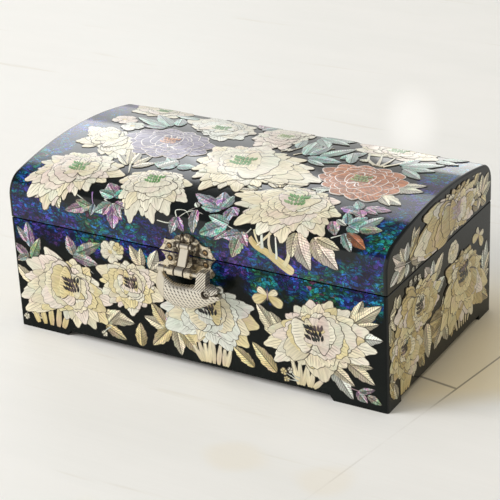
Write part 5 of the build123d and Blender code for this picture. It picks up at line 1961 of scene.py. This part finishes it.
@dataclass
class Studio:
    """Camera, lamps, world and floor, placed as the photograph shows them.

    The eye is in millimetres from the case's middle, angles of the camera are in degrees, and the
    floor's sizes are in metres.
    """

    eye: Point = (530.85, -879.28, 533.09)
    azimuth: float = 31.2
    elevation: float = 25.33
    roll: float = 2.718
    lens: float = 130.5
    sky: float = 0.54
    floor_size: float = 6.0
    board: float = 0.155
    board_length: float = 0.9
    board_turn: float = 0.164

    def set_up(self, case: Case) -> None:
        """Makes the camera, light and floor.

        Args:
            case: sizes of the case.
        """
        self.place_camera(case)
        self.light()
        self.lay_floor()

    def place_camera(self, case: Case) -> None:
        """Aims the camera by azimuth and elevation, then rolls it about its own axis.

        Args:
            case: sizes of the case.
        """
        data = bpy.data.cameras.new("camera")
        data.lens, data.sensor_width = self.lens, 36.0
        data.clip_start, data.clip_end = 0.05, 30.0
        camera = add_object("camera", data)
        az, el, roll = map(math.radians, (self.azimuth, self.elevation, self.roll))
        aim = Vector((-math.sin(az) * math.cos(el), math.cos(az) * math.cos(el), -math.sin(el)))
        right = aim.cross(Vector((0, 0, 1))).normalized()
        up = right.cross(aim)
        rolled_right = right * math.cos(roll) - up * math.sin(roll)
        rolled_up = right * math.sin(roll) + up * math.cos(roll)
        turn = Matrix((rolled_right, rolled_up, -aim)).transposed().to_4x4()
        eye = Vector((self.eye[0], self.eye[1] + case.middle, self.eye[2])) * MM
        camera.matrix_world = Matrix.Translation(eye) @ turn
        bpy.context.scene.camera = camera

    def light(self) -> None:
        """Adds windows behind on the left, daylight, a lamp in front on the left and an even sky.

        What the camera and the gloss see of the world is a pale wall up to about a third of the
        way to the zenith, and a dim ceiling above it.
        """
        for lamp in LAMPS:
            lamp.hang()
        world = bpy.data.worlds.new("sky")
        bpy.context.scene.world = world
        world.use_nodes = True
        world.node_tree.nodes.clear()
        b = Bench(world.node_tree)
        ray = b.add("LightPath").outputs
        seen = b.larger(ray["Is Camera Ray"], b.larger(ray["Is Glossy Ray"], ray["Is Transmission Ray"]))
        rise = b.split(b.add("TexCoord").outputs["Generated"])[2]
        room = b.mix(b.ease(rise, 0.56, 0.65), (0.90, 0.90, 0.88), (0.15, 0.155, 0.17))
        shown = b.add("Background", {"Color": room, "Strength": 1.0})
        sky = b.add("Background", {"Color": (1.0, 0.95, 0.85), "Strength": self.sky})
        both = b.add("MixShader", {0: seen, 1: sky.outputs[0], 2: shown.outputs[0]})
        b.add("OutputWorld", {0: both.outputs[0]})

    def lay_floor(self) -> None:
        """Lays the painted floor under the feet."""
        half = self.floor_size / 2
        mesh = bpy.data.meshes.new("floor")
        mesh.from_pydata([(-half, -half, 0), (half, -half, 0), (half, half, 0), (-half, half, 0)], [], [(0, 1, 2, 3)])
        mesh.materials.append(self.painted_boards())
        add_object("floor", mesh)

    def painted_boards(self) -> bpy.types.Material:
        """Paints pale boards with faint grain, brush marks, worn joints, painted warm shade and painted sun.

        Returns:
            The material.
        """
        material, b, shader = new_material("painted_floor")
        where = b.place()
        cloud = b.noise(b.stretch(where, (1.0, 3.0, 1.0), (0, 0, 0.45)), 2.2, 4.0, 0.6)
        grain = b.noise(b.stretch(where, (6.0, 70.0, 1.0), (0, 0, 0.45)), 1.0, 3.0, 0.6)
        colour = b.mix(b.ease(cloud, 0.35, 0.7), (0.84, 0.845, 0.835), (0.90, 0.90, 0.895))
        colour = b.mix(b.ease(grain, 0.62, 0.74, 0.0, 0.35), colour, (0.70, 0.67, 0.60))
        x, y, _ = b.split(b.turn(where, self.board_turn))
        spot = b.times(b.ease(b.noise(where, 17.0, 0.0), 0.66, 0.78), b.ease(y, 0.0, -0.15, 0.0, 0.4))
        colour = b.mix(spot, colour, (0.86, 0.80, 0.68))
        # Painted warm shade: the floor is tinted warm where the box's shadow falls beside it.
        warm_shade = self.painted_warm_shade(b, where)
        colour = b.mix(warm_shade, colour, (0.94, 0.84, 0.63))
        worn = b.ease(b.noise(where, 14.0, 3.0, 0.6), 0.40, 0.60, 0.0, 0.2)
        # Joints show where the paint is worn, and more strongly in the painted warm shade.
        shown = b.larger(b.times(warm_shade, 0.8), b.times(worn, b.ease(x, 0.0, 0.2)))
        colour = b.mix(b.times(self.joints(b, x, y), shown), colour, (0.26, 0.22, 0.16))
        # Painted sunlight: a soft pale patch on the floor behind the box.
        sun = b.turn(b.move(where, (-0.056, 0.353, 0.0), "SUBTRACT"), -0.455)
        glow = b.ease(b.length(b.stretch(sun, (1 / 0.024, 1 / 0.085, 1.0))), 1.15, 0.2)
        b.fill(shader, {"Base Color": b.mix(glow, colour, (1.0, 1.0, 1.0)),
                        "Roughness": b.ease(cloud, 0.3, 0.7, 0.5, 0.7), "Normal": b.bump(grain, 0.0003)})
        return material

    def joints(self, b: Bench, x: Socket, y: Socket) -> Socket:
        """Draws the joints: thin lines at whole numbers of boards, across and along.

        Along its length, each row of boards is shifted by a sine of its number.

        Args:
            b: the material's bench.
            x: position across the boards.
            y: position along the boards.

        Returns:
            A share from 0 to 1.
        """
        across = b.over(x, self.board)
        slide = b.plus(y, b.times(b.math("SINE", b.times(b.math("FLOOR", across), 12.9)), 1.7))
        return b.larger(b.ease(b.off_middle(across), 0.4952, 0.4972),
                        b.ease(b.off_middle(b.over(slide, self.board_length)), 0.4985, 0.4995))

    def painted_warm_shade(self, b: Bench, where: Socket) -> Socket:
        """Draws painted warm shade: a soft slanted rectangle beside the box, where its shadow falls.

        Args:
            b: the material's bench.
            where: position on the floor.

        Returns:
            A share from 0 to 1.
        """
        x, y, _ = b.split(b.turn(where, -0.61, (0.129, -0.073, 0.0)))
        return b.times(b.times(b.ease(y, -0.075, -0.045), b.ease(y, 0.13, 0.02)),
                       b.times(b.ease(x, 0.10, 0.16), b.ease(x, 0.36, 0.22)))


@dataclass
class JewelryBox:
    """The whole dressed box."""

    frame: dict
    case: Case
    finishes: Finishes

    def dress(self) -> None:
        """Dresses the CAD nodes and adds inlay and padding."""
        self.finishes.dress_frame(self.frame)
        for garden in self.gardens():
            garden.plant(self.finishes)
        Upholstery().make(self.finishes)

    def gardens(self) -> list[Garden]:
        """Lays out all faces. The rear repeats the front's flowers and the left end the right's.

        Returns:
            The gardens of all faces.
        """
        case = self.case

        def wall(side: Side) -> WallChart:
            """Chart of a body face."""
            return WallChart(case, side, "box", 4.2, case.body_top - 0.8)

        def gable(side: Side) -> GableChart:
            """Chart of a lid end."""
            return GableChart(case, side, "lid", case.lid_bottom + 0.8, case.top)

        front = front_garden(wall(Side.FRONT))
        return [
            front, replace(front, name="rear", chart=wall(Side.REAR), seed=23), lid_garden(LidChart(case)),
            end_garden("right_end", wall(Side.RIGHT), 61), end_garden("left_end", wall(Side.LEFT), 67),
            gable_garden("right_gable", gable(Side.RIGHT), 71), gable_garden("left_gable", gable(Side.LEFT), 73),
        ]


def main() -> None:
    """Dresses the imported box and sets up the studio."""
    logging.basicConfig(level=logging.INFO, format="%(name)s: %(message)s")
    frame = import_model()
    bpy.context.scene.view_settings.view_transform = "Standard"
    case = Case.from_frame()
    Studio().set_up(case)
    JewelryBox(frame, case, Finishes()).dress()


if __name__ == "__main__":
    main()
